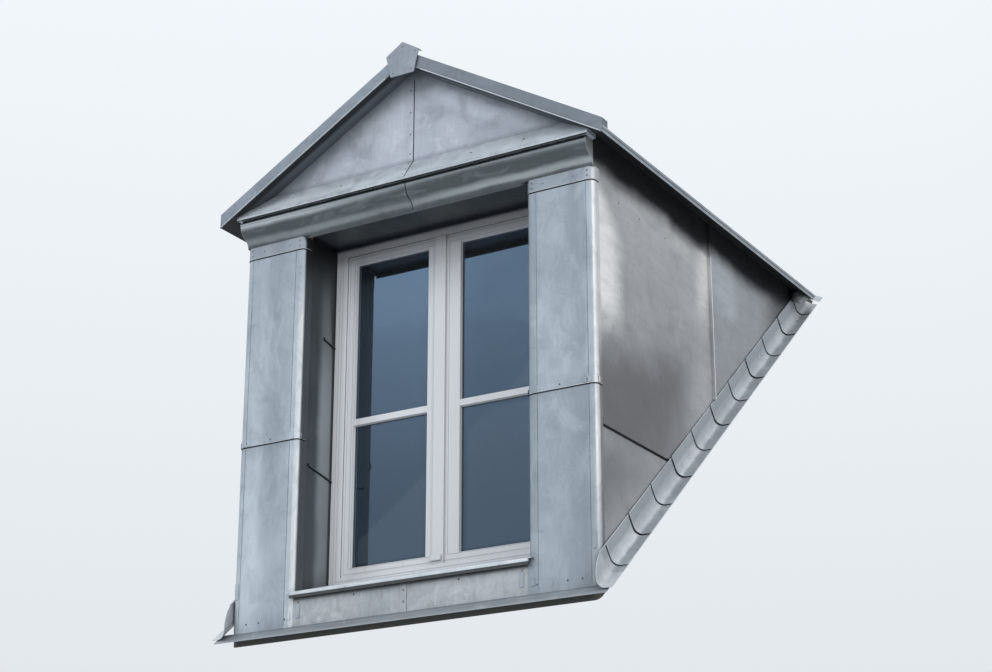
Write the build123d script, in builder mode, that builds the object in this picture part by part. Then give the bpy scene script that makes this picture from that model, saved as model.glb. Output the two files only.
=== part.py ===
from build123d import *
from math import atan, cos, degrees, radians, sin, tan
import os

# A gabled dormer window in zinc sheet over a timber frame. All sizes are in millimetres.
# X runs to the right along the front, Y into the main roof, Z up. The main roof's timber plane
# slopes up through the origin, which is the middle of the front sole plate's bevelled underside.

# Main roof that the dormer stands on
main_pitch = 40.0
slate_build = 36.0

# Front
front_width = 1500.0
opening_width = 960.0
pilaster_height = 1494.0
head_band_height = 48.0
lap_height = 697.0
outer_return = 40.0
inner_return = 52.0
corner_radius = 22.0
recess_depth = 212.0
soffit_rise = 9.0
soffit_lip = 21.0

# Sheet and boards, the sheet thicker than real roofing zinc
sheet = 2.0
board = 22.0
lap_step = 1.5
lap_band = 26.0
seam_gap = 0.3

# Timber frame
post_depth = 120.0
stud_depth = 100.0
stud_width = 45.0
stud_spacing = 420.0
stud_shortest = 150.0
sole_depth = 45.0
jamb_thickness = 27.0
rafter_depth = 75.0
rafter_width = 45.0
rafter_spacing = 450.0
ridge_width = 36.0
ridge_depth = 130.0
valley_board_depth = 20.0
valley_board_reach = 60.0

# Roof of the dormer
dormer_pitch = 30.4
eave_half = 829.0
eave_above_head = 78.0
front_overhang = 77.0
roof_seam_height = 20.0
roof_seam_width = 6.0
roof_seam_setback = 30.0
roof_seam_taper = 130.0
roof_seam_spacing = 480.0
ridge_cap_half = 34.0
ridge_cap_rise = 34.0
verge_height = 56.0
verge_depth = 42.0
verge_drip = 3.0
verge_drip_height = 6.0
apex_rise = 31.0
apex_shoulder_half = 72.0
apex_shoulder_drop = 46.0
apex_foot_half = 51.0
apex_foot_drop = 136.0
apex_plate = 4.0
apex_hood_depth = 18.0
eave_end_height = 92.0

# Cornice and pediment
cornice_height = 88.0
cornice_projection = 54.0
cornice_hollow_radius = 34.0
cornice_neck_setback = 13.0
cornice_neck_height = 12.0
ledge_projection = 62.0
ledge_side = 12.0
ledge_edge = 8.0
ledge_rise = 88.0
pediment_lap = 26.0

# Cheeks
cheek_seam_y = 925.0
cheek_seam_height = 12.0
cheek_seam_width = 6.0
cheek_lap_height = 558.0

# Flashings on the slates
soaker_height = 110.0
soaker_width = 54.0
soaker_radius = 30.0
soaker_course = 224.0
soaker_lap = 60.0
soaker_clearance = 3.0
soaker_first = 34.0
soaker_nose = 28.0
soaker_ear_bulge = 20.0
apron_reach = 42.0
apron_side = 44.0
valley_width = 70.0
valley_shown = 46.0

# Window
sill_rise = 191.0
sill_nose = 15.0
sill_nose_height = 23.0
sill_ear = 8.0
sill_fall = 17.0
frame_depth = 68.0
frame_side = 44.0
frame_head = 30.0
frame_foot = 22.0
sash_setback = 12.0
sash_depth = 54.0
sash_side = 40.0
sash_head = 37.0
sash_foot = 34.0
sash_gap = 2.0
sash_overlap = 8.0
meeting_half = 70.0
meeting_centre = 9.0
meeting_cover = 46.0
meeting_cover_depth = 8.0
bar_height = 24.0
bar_centre = 802.0
glass = 6.0
glass_setback = 27.0

# Extra length of what a slanting cut trims to its final length
cut_allowance = 200.0

# Planes and levels that the pieces share
slope = radians(main_pitch)
roof_angle = radians(dormer_pitch)
rise = tan(slope)
fall = tan(roof_angle)
face = -(sheet + post_depth / 2)
timber_face = face + sheet
post_back = timber_face + post_depth
outer = front_width / 2
board_outer = outer - sheet
stud_outer = board_outer - board
stud_inner = stud_outer - stud_depth
reveal = opening_width / 2
jamb_inner = reveal + sheet
jamb_outer = jamb_inner + jamb_thickness
frame_front = face + recess_depth
frame_back = frame_front + frame_depth


def above_seat(y, square_height=0.0):
    """Height of a plane parallel to the main roof, square_height above its timber."""
    return rise * y + square_height / cos(slope)


def slope_plane(square_height=0.0):
    """The same plane, facing up, with its X to the right and its Y up the slope."""
    return Plane(
        origin=(0, 0, above_seat(0, square_height)),
        x_dir=(1, 0, 0),
        z_dir=(0, -sin(slope), cos(slope)),
    )


apron_top = slate_build + sheet
foot = above_seat(face, apron_top) + seam_gap
head = foot + pilaster_height
soffit = head + soffit_rise
head_board_bottom = soffit + sheet
lintel_bottom = head_board_bottom + jamb_thickness
eave_under = head + eave_above_head
board_rise = board / cos(roof_angle)
sheet_rise = sheet / cos(roof_angle)


def roof_z(x, vertical_offset=0.0):
    """Height of the roof boards' underside at x, or of a plane parallel to it."""
    return eave_under + fall * (eave_half - x) + vertical_offset


def roof_plane(vertical_offset=0.0):
    """The right-hand roof plane, facing up."""
    return Plane(
        origin=(0, 0, roof_z(0, vertical_offset)),
        x_dir=(0, 1, 0),
        z_dir=(sin(roof_angle), 0, cos(roof_angle)),
    )


roof_top = board_rise + sheet_rise
cornice_top = head + cornice_height + cornice_neck_height
ledge_top = cornice_top + ledge_edge
ledge_front = face - ledge_projection
half_gap = seam_gap / 2
fold = ledge_top + ledge_rise
plate_top = roof_z(stud_inner) - rafter_depth / cos(roof_angle)
sole_top = above_seat(post_back, sole_depth * cos(slope))
far_back = (roof_z(0, roof_top) / rise) + cut_allowance
side_sole_end = (plate_top - above_seat(0, sole_depth)) / rise
overhang_front = face - front_overhang
sill_back = foot + sill_rise
sill_slope = tan(radians(sill_fall))
timber_radius = corner_radius - sheet


def sill_z(y, offset=0.0):
    """Height of the sloping sill's upper face at y."""
    return sill_back - sill_slope * (frame_front - y) + offset


def left_roof_plane(vertical_offset=0.0):
    """The left-hand roof plane, facing up."""
    return Plane(
        origin=(0, 0, roof_z(0, vertical_offset)),
        x_dir=(0, 1, 0),
        z_dir=(-sin(roof_angle), 0, cos(roof_angle)),
    )


def side_prism(outline, x_from, x_to, mode=Mode.ADD):
    """Runs a YZ outline from x_from to x_to."""
    with BuildSketch(Plane.YZ.offset(x_from)) as section:
        with BuildLine():
            Polyline(*outline, close=True)
        make_face()
    extrude(section.sketch, amount=x_to - x_from, mode=mode)


def front_prism(outline, y_from, y_to, mode=Mode.ADD):
    """Runs an XZ outline from y_from back to y_to."""
    with BuildSketch(Plane.XZ.offset(-y_from)) as section:
        with BuildLine():
            Polyline(*outline, close=True)
        make_face()
    extrude(section.sketch, amount=-(y_to - y_from), mode=mode)


def block(x_from, x_to, y_from, y_to, z_from, z_to, mode=Mode.ADD):
    """A rectangular block between six faces."""
    outline = [(x_from, z_from), (x_to, z_from), (x_to, z_to), (x_from, z_to)]
    front_prism(outline, y_from, y_to, mode)


def mirrored(right):
    """The left-hand twin of a right-hand piece."""
    with BuildPart() as left:
        mirror(right.part, about=Plane.YZ)
    return left


# Front sole plate, bevelled to lie on the main roof
with BuildPart() as sole_plate_front:
    sole_outline = [
        (timber_face, above_seat(timber_face)),
        (post_back, above_seat(post_back)),
        (post_back, sole_top),
        (timber_face, sole_top),
    ]
    side_prism(sole_outline, -stud_outer, stud_outer)

# Side sole plates, running up the slope under the cheeks
with BuildPart() as side_sole_plates:
    side_sole_outline = [
        (post_back, above_seat(post_back)),
        (side_sole_end, above_seat(side_sole_end)),
        (side_sole_end, above_seat(side_sole_end, sole_depth)),
        (post_back, above_seat(post_back, sole_depth)),
    ]
    side_prism(side_sole_outline, stud_inner, stud_outer)
    mirror(about=Plane.YZ)

# Corner post behind the pilaster
with BuildPart() as post_right:
    block(jamb_outer, stud_outer, timber_face, post_back, sole_top, lintel_bottom)
post_left = mirrored(post_right)

# Sill beam, sloped on top for the zinc sill and bevelled below over the main roof
with BuildPart() as sill_beam:
    seat_meets_sole = sole_top / rise
    beam_outline = [
        (timber_face, sole_top),
        (seat_meets_sole, sole_top),
        (frame_back, above_seat(frame_back)),
        (frame_back, sill_back - sheet),
        (frame_front, sill_back - sheet),
        (timber_face, sill_z(timber_face, -sheet)),
    ]
    side_prism(beam_outline, -jamb_outer, jamb_outer)

# Boards that line the recess and hold the window
with BuildPart() as jamb_boards:
    jamb_outline = [
        (timber_face, sill_z(timber_face, -sheet)),
        (frame_front, sill_back - sheet),
        (frame_back, sill_back - sheet),
        (frame_back, head_board_bottom),
        (timber_face, head_board_bottom),
    ]
    side_prism(jamb_outline, jamb_inner, jamb_outer)
    front_edges = jamb_boards.edges().filter_by(Axis.Z).group_by(Axis.Y)[0]
    fillet(front_edges.sort_by(Axis.X)[0], radius=timber_radius)
    mirror(about=Plane.YZ)

with BuildPart() as head_board:
    block(-jamb_outer, jamb_outer, timber_face, frame_back, head_board_bottom, lintel_bottom)

with BuildPart() as lintel:
    block(-stud_outer, stud_outer, timber_face, post_back, lintel_bottom, plate_top)

# Wall plates on top of the cheeks' studs, their back ends cut over the side sole plates
with BuildPart() as wall_plates:
    block(stud_inner, stud_outer, post_back, far_back, lintel_bottom, plate_top)
    split(bisect_by=slope_plane(sole_depth), keep=Keep.TOP)
    mirror(about=Plane.YZ)

# Studs of the cheeks
with BuildPart() as cheek_studs:
    stud_y = post_back + stud_spacing
    while lintel_bottom - above_seat(stud_y, sole_depth) > stud_shortest:
        stud_outline = [
            (stud_y, above_seat(stud_y, sole_depth)),
            (stud_y + stud_width, above_seat(stud_y + stud_width, sole_depth)),
            (stud_y + stud_width, lintel_bottom),
            (stud_y, lintel_bottom),
        ]
        side_prism(stud_outline, stud_inner, stud_outer)
        stud_y += stud_spacing
    mirror(about=Plane.YZ)

# Boarding of the cheek, from the main roof's timber up to the roof boards
with BuildPart() as cheek_boarding_right:
    boarding_end = roof_z(stud_outer) / rise
    boarding_outline = [
        (timber_face, above_seat(timber_face)),
        (boarding_end, above_seat(boarding_end)),
        (timber_face, above_seat(boarding_end)),
    ]
    side_prism(boarding_outline, stud_outer, board_outer)
    front_edges = cheek_boarding_right.edges().filter_by(Axis.Z).group_by(Axis.Y)[0]
    fillet(front_edges.sort_by(Axis.X)[-1], radius=timber_radius)
    split(bisect_by=roof_plane(), keep=Keep.BOTTOM)
cheek_boarding_left = mirrored(cheek_boarding_right)

# Boarding of the gable, on the lintel and under the roof boards
gable_back = timber_face + board
with BuildPart() as gable_boarding:
    gable_outline = [
        (-stud_outer, plate_top),
        (stud_outer, plate_top),
        (stud_outer, roof_z(stud_outer)),
        (0, roof_z(0)),
        (-stud_outer, roof_z(stud_outer)),
    ]
    front_prism(gable_outline, timber_face, gable_back)

# Ridge board, bevelled on top, ending on the valley boards
with BuildPart() as ridge_board:
    ridge_half = ridge_width / 2
    ridge_outline = [
        (-ridge_half, roof_z(0) - ridge_depth),
        (ridge_half, roof_z(0) - ridge_depth),
        (ridge_half, roof_z(ridge_half)),
        (0, roof_z(0)),
        (-ridge_half, roof_z(ridge_half)),
    ]
    front_prism(ridge_outline, gable_back, far_back)
    split(bisect_by=slope_plane(valley_board_depth), keep=Keep.TOP)

# Rafters, notched over the wall plate, the last ones cut on the valley board
with BuildPart() as rafters:
    rafter_outline = [
        (ridge_half, roof_z(ridge_half)),
        (stud_outer, roof_z(stud_outer)),
        (stud_outer, plate_top),
        (stud_inner, plate_top),
        (ridge_half, roof_z(ridge_half) - rafter_depth / cos(roof_angle)),
    ]
    last_rafter = (roof_z(0) - ridge_depth) / rise
    rafter_y = gable_back
    while rafter_y < last_rafter:
        front_prism(rafter_outline, rafter_y, rafter_y + rafter_width)
        rafter_y += rafter_spacing
    split(bisect_by=slope_plane(valley_board_depth), keep=Keep.TOP)
    mirror(about=Plane.YZ)

# Valley boards on the main roof's timber, under the feet of the last rafters and the roof boards
with BuildPart() as valley_boards:
    with BuildSketch(slope_plane()):
        with BuildLine():
            low_s = (roof_z(stud_outer) / rise) / cos(slope)
            high_s = (roof_z(0) / rise) / cos(slope)
            reach_down = valley_board_reach / cos(slope)
            reach_up = (board_rise / rise) / cos(slope)
            Polyline(
                (half_gap, high_s - reach_down),
                (stud_outer, low_s - reach_down),
                (stud_outer, low_s + reach_up),
                (half_gap, high_s + reach_up),
                close=True,
            )
        make_face()
    extrude(amount=valley_board_depth)
    mirror(about=Plane.YZ)

# Roof boards, from the verge back to the valley, lined below where they overhang
board_edge = eave_half - sheet


def below_seat_line(square_height):
    """YZ outline of all that lies below a line square_height over the main roof's timber."""
    return [(0, above_seat(0, square_height)), (far_back, above_seat(far_back, square_height)), (far_back, 0)]


def lining_outline(x_from):
    """XZ outline of the sheet that lines the boards' underside from x_from to the eave."""
    return [
        (x_from, roof_z(x_from)),
        (board_edge, roof_z(board_edge)),
        (board_edge, roof_z(board_edge, sheet_rise)),
        (x_from, roof_z(x_from, sheet_rise)),
    ]


with BuildPart() as roof_boarding_right:
    boards_outline = [
        (0, roof_z(0)),
        (board_edge, roof_z(board_edge)),
        (board_edge, roof_z(board_edge, board_rise)),
        (0, roof_z(0, board_rise)),
    ]
    front_prism(boards_outline, overhang_front + sheet, far_back)
    split(bisect_by=slope_plane(valley_board_depth), keep=Keep.TOP)
    front_prism(lining_outline(0), overhang_front, face, mode=Mode.SUBTRACT)
    front_prism(lining_outline(outer), face, far_back, mode=Mode.SUBTRACT)
    side_prism(below_seat_line(eave_end_height + sheet), outer, eave_half, mode=Mode.SUBTRACT)
roof_boarding_left = mirrored(roof_boarding_right)

# Sheet that closes the boards' slanting end at the foot of the valley
with BuildPart() as eave_stop:
    front_prism(boards_outline, face, far_back)
    split(bisect_by=slope_plane(eave_end_height + sheet), keep=Keep.BOTTOM)
    split(bisect_by=slope_plane(eave_end_height), keep=Keep.TOP)
    split(bisect_by=Plane.YZ.offset(outer), keep=Keep.TOP)

# Roof sheets with standing seams, turned down over the boards' edge and back under the eave
verge_back = overhang_front + verge_depth
with BuildPart() as roof_sheets_right:
    skin_outline = [
        (ridge_cap_half - sheet, roof_z(ridge_cap_half - sheet, board_rise)),
        (board_edge, roof_z(board_edge, board_rise)),
        (board_edge, roof_z(board_edge)),
        (eave_half, roof_z(board_edge)),
        (eave_half, roof_z(eave_half, roof_top)),
        (ridge_cap_half - sheet, roof_z(ridge_cap_half - sheet, roof_top)),
    ]
    front_prism(skin_outline, overhang_front + sheet, far_back)
    front_prism(lining_outline(outer), face, far_back)
    seam_rise = roof_seam_height / cos(roof_angle)
    seam_start = eave_half - roof_seam_setback
    seam_full = seam_start - roof_seam_taper
    seam_outline = [
        (ridge_cap_half + seam_gap, roof_z(ridge_cap_half + seam_gap, board_rise)),
        (seam_start, roof_z(seam_start, board_rise)),
        (seam_start, roof_z(seam_start, roof_top)),
        (seam_full, roof_z(seam_full, roof_top + seam_rise)),
        (ridge_cap_half + seam_gap, roof_z(ridge_cap_half + seam_gap, roof_top + seam_rise)),
    ]
    seam_y = verge_back + roof_seam_spacing
    while seam_y < far_back:
        front_prism(seam_outline, seam_y, seam_y + roof_seam_width)
        seam_y += roof_seam_spacing
    split(bisect_by=slope_plane(slate_build + sheet), keep=Keep.TOP)
    side_prism(below_seat_line(eave_end_height), outer, eave_half, mode=Mode.SUBTRACT)
    add(eave_stop.part)
roof_sheets_left = mirrored(roof_sheets_right)

# Ridge cap, a folded box over the ridge, open below
ridge_front = verge_back + seam_gap
with BuildPart() as ridge_cap:
    cap_side = roof_z(ridge_cap_half, roof_top) + ridge_cap_rise
    cap_outline = [
        (-ridge_cap_half, roof_z(ridge_cap_half, roof_top)),
        (0, roof_z(0, roof_top)),
        (ridge_cap_half, roof_z(ridge_cap_half, roof_top)),
        (ridge_cap_half, cap_side),
        (0, cap_side + ledge_edge),
        (-ridge_cap_half, cap_side),
    ]
    cap_inner = ridge_cap_half - sheet
    cap_hollow = [
        (-cap_inner, roof_z(ridge_cap_half, roof_top) - sheet),
        (cap_inner, roof_z(ridge_cap_half, roof_top) - sheet),
        (cap_inner, cap_side - sheet),
        (0, cap_side + ledge_edge - sheet),
        (-cap_inner, cap_side - sheet),
    ]
    front_prism(cap_outline, ridge_front, far_back)
    front_prism(cap_hollow, ridge_front, far_back, mode=Mode.SUBTRACT)
    split(bisect_by=slope_plane(slate_build + sheet), keep=Keep.TOP)

# Verge cap on the sloping front edge: front leg with a drip, top, back leg, closed end and lining
with BuildPart() as verge_right:
    leg_outline = [
        (0, roof_z(0)),
        (eave_half, roof_z(eave_half)),
        (eave_half, roof_z(eave_half, verge_height)),
        (0, roof_z(0, verge_height)),
    ]
    front_prism(leg_outline, overhang_front, overhang_front + sheet)
    drip_outline = [
        (0, roof_z(0)),
        (eave_half, roof_z(eave_half)),
        (eave_half, roof_z(eave_half, verge_drip_height)),
        (0, roof_z(0, verge_drip_height)),
    ]
    front_prism(drip_outline, overhang_front - verge_drip, overhang_front)
    top_outline = [
        (0, roof_z(0, verge_height - sheet)),
        (eave_half, roof_z(eave_half, verge_height - sheet)),
        (eave_half, roof_z(eave_half, verge_height)),
        (0, roof_z(0, verge_height)),
    ]
    front_prism(top_outline, overhang_front, verge_back)
    back_outline = [
        (0, roof_z(0, roof_top)),
        (eave_half, roof_z(eave_half, roof_top)),
        (eave_half, roof_z(eave_half, verge_height)),
        (0, roof_z(0, verge_height)),
    ]
    front_prism(back_outline, verge_back - sheet, verge_back)
    end_outline = [
        (eave_half - sheet, roof_z(eave_half - sheet, roof_top)),
        (eave_half, roof_z(eave_half, roof_top)),
        (eave_half, roof_z(eave_half, verge_height)),
        (eave_half - sheet, roof_z(eave_half - sheet, verge_height)),
    ]
    front_prism(end_outline, overhang_front, verge_back)
    front_prism(lining_outline(0), overhang_front, face)
verge_left = mirrored(verge_right)

# Apex cap: a five-sided plate in front of the verges, with a small hood behind it
with BuildPart() as apex_cap:
    apex_top = roof_z(0, verge_height) + apex_rise
    plate_outline = [
        (0, apex_top),
        (-apex_shoulder_half, apex_top - apex_shoulder_drop),
        (-apex_foot_half, apex_top - apex_foot_drop),
        (apex_foot_half, apex_top - apex_foot_drop),
        (apex_shoulder_half, apex_top - apex_shoulder_drop),
    ]
    plate_back = overhang_front - verge_drip - seam_gap
    front_prism(plate_outline, plate_back - apex_plate, plate_back)
    hood_outline = [
        (0, apex_top),
        (-apex_shoulder_half, apex_top - apex_shoulder_drop),
        (-apex_shoulder_half, apex_top - apex_shoulder_drop - apex_plate),
        (0, apex_top - apex_plate),
        (apex_shoulder_half, apex_top - apex_shoulder_drop - apex_plate),
        (apex_shoulder_half, apex_top - apex_shoulder_drop),
    ]
    front_prism(hood_outline, plate_back - apex_plate, plate_back + apex_hood_depth)

# Cornice: an S-shaped sheet moulding with closed ends, open at its back
turn = 2 * atan(cornice_projection / cornice_height)
crown_radius = cornice_height / sin(turn) - cornice_hollow_radius


def moulding(inset, back):
    """The moulding's YZ face, drawn in by inset and reaching back to the depth given."""
    with BuildSketch(Plane.YZ) as section:
        with BuildLine():
            base = Line((back, head), (face + inset, head))
            lower = JernArc(base @ 1, (0, 1), cornice_hollow_radius + inset, degrees(turn))
            upper = JernArc(lower @ 1, lower % 1, crown_radius - inset, -degrees(turn))
            brow_y = face - cornice_projection + cornice_neck_setback + inset
            brow = Line(upper @ 1, (brow_y, (upper @ 1).Y))
            neck = Line(brow @ 1, brow @ 1 + Vector(0, cornice_neck_height))
            crown = Line(neck @ 1, (back, (neck @ 1).Y))
            Line(crown @ 1, base @ 0)
        make_face()
    return section.sketch


with BuildPart() as cornice:
    extrude(moulding(0, timber_face), amount=outer, both=True)
    extrude(moulding(sheet, post_back), amount=outer - sheet, both=True, mode=Mode.SUBTRACT)

# Ledge over the cornice, the foot of the pediment: a sloping sheet with a drip edge and a floor
with BuildPart() as pediment_ledge:
    ledge_outline = [
        (ledge_front, cornice_top),
        (timber_face, cornice_top),
        (timber_face, fold),
        (face, fold),
        (ledge_front, ledge_top),
    ]
    side_prism(ledge_outline, -outer - ledge_side, outer + ledge_side)
    ledge_hollow = [
        (ledge_front + sheet, cornice_top + sheet),
        (post_back, cornice_top + sheet),
        (post_back, fold - 2 * sheet),
        (face + sheet, fold - 2 * sheet),
        (ledge_front + sheet, ledge_top - sheet),
    ]
    side_prism(ledge_hollow, -outer, outer, mode=Mode.SUBTRACT)
    split(bisect_by=roof_plane(), keep=Keep.BOTTOM)
    split(bisect_by=left_roof_plane(), keep=Keep.BOTTOM)

# Pediment sheets, the left one lapped over the right one at the centre
with BuildPart() as pediment_sheets:
    fold_end = eave_half - (fold - eave_under) / fall
    peak = roof_z(half_gap)
    front_prism([(half_gap, fold), (fold_end, fold), (half_gap, peak)], face, timber_face)
    front_prism([(-half_gap, fold), (-fold_end, fold), (-half_gap, peak)], face, timber_face)
    lap_top = roof_z(pediment_lap)
    block(-pediment_lap, -half_gap, face - lap_step, face, fold, lap_top)


def folded_strip(stand_off, thickness, z_from, z_to):
    """A strip of sheet folded round the right pilaster's front, standing proud of its face."""
    x_in = reveal - stand_off
    x_out = outer + stand_off
    y_front = face - stand_off
    radius = corner_radius + stand_off
    with BuildSketch(Plane.XY.offset(z_from)) as plan:
        with BuildLine():
            outside = FilletPolyline(
                (x_in, face + inner_return),
                (x_in, y_front),
                (x_out, y_front),
                (x_out, face + outer_return),
                radius=radius,
            )
            inside = FilletPolyline(
                (x_out - thickness, face + outer_return),
                (x_out - thickness, y_front + thickness),
                (x_in + thickness, y_front + thickness),
                (x_in + thickness, face + inner_return),
                radius=radius - thickness,
            )
            Line(outside @ 1, inside @ 0)
            Line(inside @ 1, outside @ 0)
        make_face()
    extrude(plan.sketch, amount=z_to - z_from)


def pilaster_plan(stand_off):
    """Plan of the whole right pilaster, grown by stand_off, at the level of the seat."""
    with BuildSketch(Plane.XY.offset(above_seat(face))) as plan:
        with BuildLine():
            edge = FilletPolyline(
                (reveal - stand_off, frame_front),
                (reveal - stand_off, face - stand_off),
                (outer + stand_off, face - stand_off),
                (outer + stand_off, frame_front),
                radius=corner_radius + stand_off,
            )
            Line(edge @ 1, edge @ 0)
        make_face()
    return plan.sketch


# Pilaster sheets, the upper one lapped over the lower one
lap = foot + lap_height
with BuildPart() as pilaster_sheets_right:
    folded_strip(0, sheet, above_seat(face), lap - seam_gap)
    folded_strip(0, sheet, lap, head)
    folded_strip(lap_step, lap_step, lap, lap + lap_band)
    behind_apron = [
        (timber_face, above_seat(face)),
        (post_back, above_seat(face)),
        (post_back, sill_z(post_back, -sheet)),
        (timber_face, sill_z(timber_face, -sheet)),
    ]
    side_prism(behind_apron, reveal - lap_step, jamb_outer, mode=Mode.SUBTRACT)
    flat_top = sill_z(face - lap_step, -sheet) - seam_gap
    block(reveal, reveal + corner_radius, face, timber_face, above_seat(face), flat_top)
    split(bisect_by=slope_plane(apron_top), keep=Keep.TOP)
pilaster_sheets_left = mirrored(pilaster_sheets_right)

# Band at the head of each pilaster
with BuildPart() as pilaster_heads:
    folded_strip(lap_step, lap_step, head - head_band_height, head)
    mirror(about=Plane.YZ)

# Sheets that line the recess
with BuildPart() as reveals:
    reveal_start = face + inner_return + seam_gap
    reveal_outline = [
        (reveal_start, sill_z(reveal_start, -sheet)),
        (frame_front, sill_back - sheet),
        (frame_front, soffit),
        (reveal_start, soffit),
    ]
    side_prism(reveal_outline, reveal, jamb_inner)
    mirror(about=Plane.YZ)

# Ceiling of the recess, with a lip turned down behind the cornice
with BuildPart() as recess_soffit:
    inner_half = reveal - lap_step - seam_gap
    block(-jamb_inner, jamb_inner, timber_face, frame_front, soffit, head_board_bottom)
    block(-inner_half, inner_half, face, timber_face, soffit - soffit_lip, head)
    block(-inner_half, inner_half, timber_face, timber_face + sheet, soffit - soffit_lip, soffit)

# Cheek sheets: a low front one, a tall front one lapped over it, and a rear one at a standing seam
cheek_start = face + outer_return + seam_gap
cheek_seam = face + cheek_seam_y
cheek_lap = foot + cheek_lap_height
cheek_lap_end = (cheek_lap - above_seat(0, slate_build)) / rise
cheek_peak = roof_z(board_outer)
cheek_end = (cheek_peak - above_seat(0, slate_build)) / rise
soaker_length = soaker_course + soaker_lap
soaker_lift = (sheet + seam_gap) * soaker_length / soaker_course
soaker_foot = slate_build + soaker_clearance
soaker_top = soaker_foot + soaker_height * cos(slope) + soaker_lift + seam_gap
with BuildPart() as cheek_sheets_right:
    low_outline = [
        (cheek_start, above_seat(cheek_start, slate_build)),
        (cheek_lap_end, cheek_lap - seam_gap),
        (cheek_start, cheek_lap - seam_gap),
    ]
    side_prism(low_outline, board_outer, outer)
    tall_outline = [
        (cheek_start, cheek_lap),
        (cheek_lap_end, cheek_lap),
        (cheek_seam - seam_gap, above_seat(cheek_seam - seam_gap, slate_build)),
        (cheek_seam - seam_gap, cheek_peak),
        (timber_face, cheek_peak),
        (timber_face, head),
        (cheek_start, head),
    ]
    side_prism(tall_outline, board_outer, outer)
    rear_outline = [
        (cheek_seam, above_seat(cheek_seam, slate_build)),
        (cheek_end, cheek_peak),
        (cheek_seam, cheek_peak),
    ]
    side_prism(rear_outline, board_outer, outer)
    lap_band_end = (cheek_lap - above_seat(0, soaker_top)) / rise
    block(outer, outer + lap_step, cheek_start, lap_band_end, cheek_lap, cheek_lap + lap_band)
    seam_end = cheek_seam + cheek_seam_width
    seam_foot = above_seat(seam_end, soaker_top)
    block(outer, outer + cheek_seam_height, cheek_seam, seam_end, seam_foot, cheek_peak)
    split(bisect_by=roof_plane(), keep=Keep.BOTTOM)
cheek_sheets_left = mirrored(cheek_sheets_right)


def soaker_section(along, lift):
    """The cove-shaped section of a soaker across the slope, raised by lift."""
    x_foot = outer + seam_gap + sheet + lift
    n_foot = soaker_foot + sheet + lift
    top = soaker_foot + soaker_height * cos(slope) + lift
    across = Plane(
        origin=(0, along * cos(slope), along * sin(slope)),
        x_dir=(1, 0, 0),
        z_dir=(0, -cos(slope), -sin(slope)),
    )
    with BuildSketch(across) as section:
        with BuildLine():
            shown_up = Line((x_foot, top), (x_foot, n_foot + soaker_radius))
            centre = (x_foot + soaker_radius, n_foot + soaker_radius)
            shown = CenterArc(centre, soaker_radius, 180, 90)
            shown_flat = Line(shown @ 1, (x_foot + soaker_width, n_foot))
            tip = Line(shown_flat @ 1, shown_flat @ 1 - Vector(0, sheet))
            hidden_flat = Line(tip @ 1, (x_foot + soaker_radius, n_foot - sheet))
            hidden = CenterArc(centre, soaker_radius + sheet, 270, -90)
            hidden_up = Line(hidden @ 1, (x_foot - sheet, top))
            Line(hidden_up @ 1, shown_up @ 0)
        make_face()
    return section.sketch


# Soakers: cove-shaped flashings between cheek and slates, each lapped over the one below it
with BuildPart() as soakers_right:
    first_lap = (face + soaker_first) / cos(slope) + soaker_top * tan(slope)
    nose_y = face - soaker_nose
    nose_s = nose_y / cos(slope) + slate_build * tan(slope)
    top_s = (roof_z(outer) / rise) / cos(slope)
    loft([soaker_section(nose_s, soaker_lift), soaker_section(first_lap + soaker_lap, 0)])
    ear_foot = above_seat(nose_y, slate_build)
    ear_top = above_seat(face, soaker_top)
    with BuildSketch(Plane.YZ.offset(outer)) as ear_cut:
        with BuildLine():
            ear = SagittaArc((nose_y, ear_foot), (face, ear_top), soaker_ear_bulge)
            Polyline(
                ear @ 1,
                (face, ear_top + soaker_height),
                (nose_y - soaker_height, ear_top + soaker_height),
                (nose_y - soaker_height, ear_foot - soaker_height),
                (nose_y, ear_foot - soaker_height),
                ear @ 0,
            )
        make_face()
    extrude(ear_cut.sketch, amount=2 * soaker_width, mode=Mode.SUBTRACT)
    tail = first_lap
    while tail < top_s - soaker_course / 2:
        loft([soaker_section(tail, soaker_lift), soaker_section(tail + soaker_length, 0)])
        tail += soaker_course
    split(bisect_by=roof_plane(), keep=Keep.BOTTOM)
soakers_left = mirrored(soakers_right)

# Valley flashing on the slates, its inner edge under the roof sheet
with BuildPart() as valley_flashing_right:
    valley_end = outer + soaker_width
    low_valley = (roof_z(valley_end, roof_top) - above_seat(0, slate_build)) / rise / cos(slope)
    high_valley = (roof_z(0, roof_top) - above_seat(0, slate_build)) / rise / cos(slope)
    with BuildSketch(slope_plane(slate_build)):
        with BuildLine():
            Polyline(
                (seam_gap, high_valley - valley_width),
                (valley_end, low_valley - valley_width),
                (valley_end, low_valley + valley_shown),
                (seam_gap, high_valley + valley_shown),
                close=True,
            )
        make_face()
    extrude(amount=sheet)
    split(bisect_by=roof_plane(board_rise), keep=Keep.TOP)
valley_flashing_left = mirrored(valley_flashing_right)

# Front apron on the slates, under the feet of the pilasters
with BuildPart() as front_apron:
    apron_outline = [
        (face - apron_reach, above_seat(face - apron_reach, slate_build)),
        (timber_face, above_seat(timber_face, slate_build)),
        (timber_face, above_seat(timber_face, apron_top)),
        (face - apron_reach, above_seat(face - apron_reach, apron_top)),
    ]
    side_prism(apron_outline, -outer - apron_side, outer + apron_side)

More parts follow.
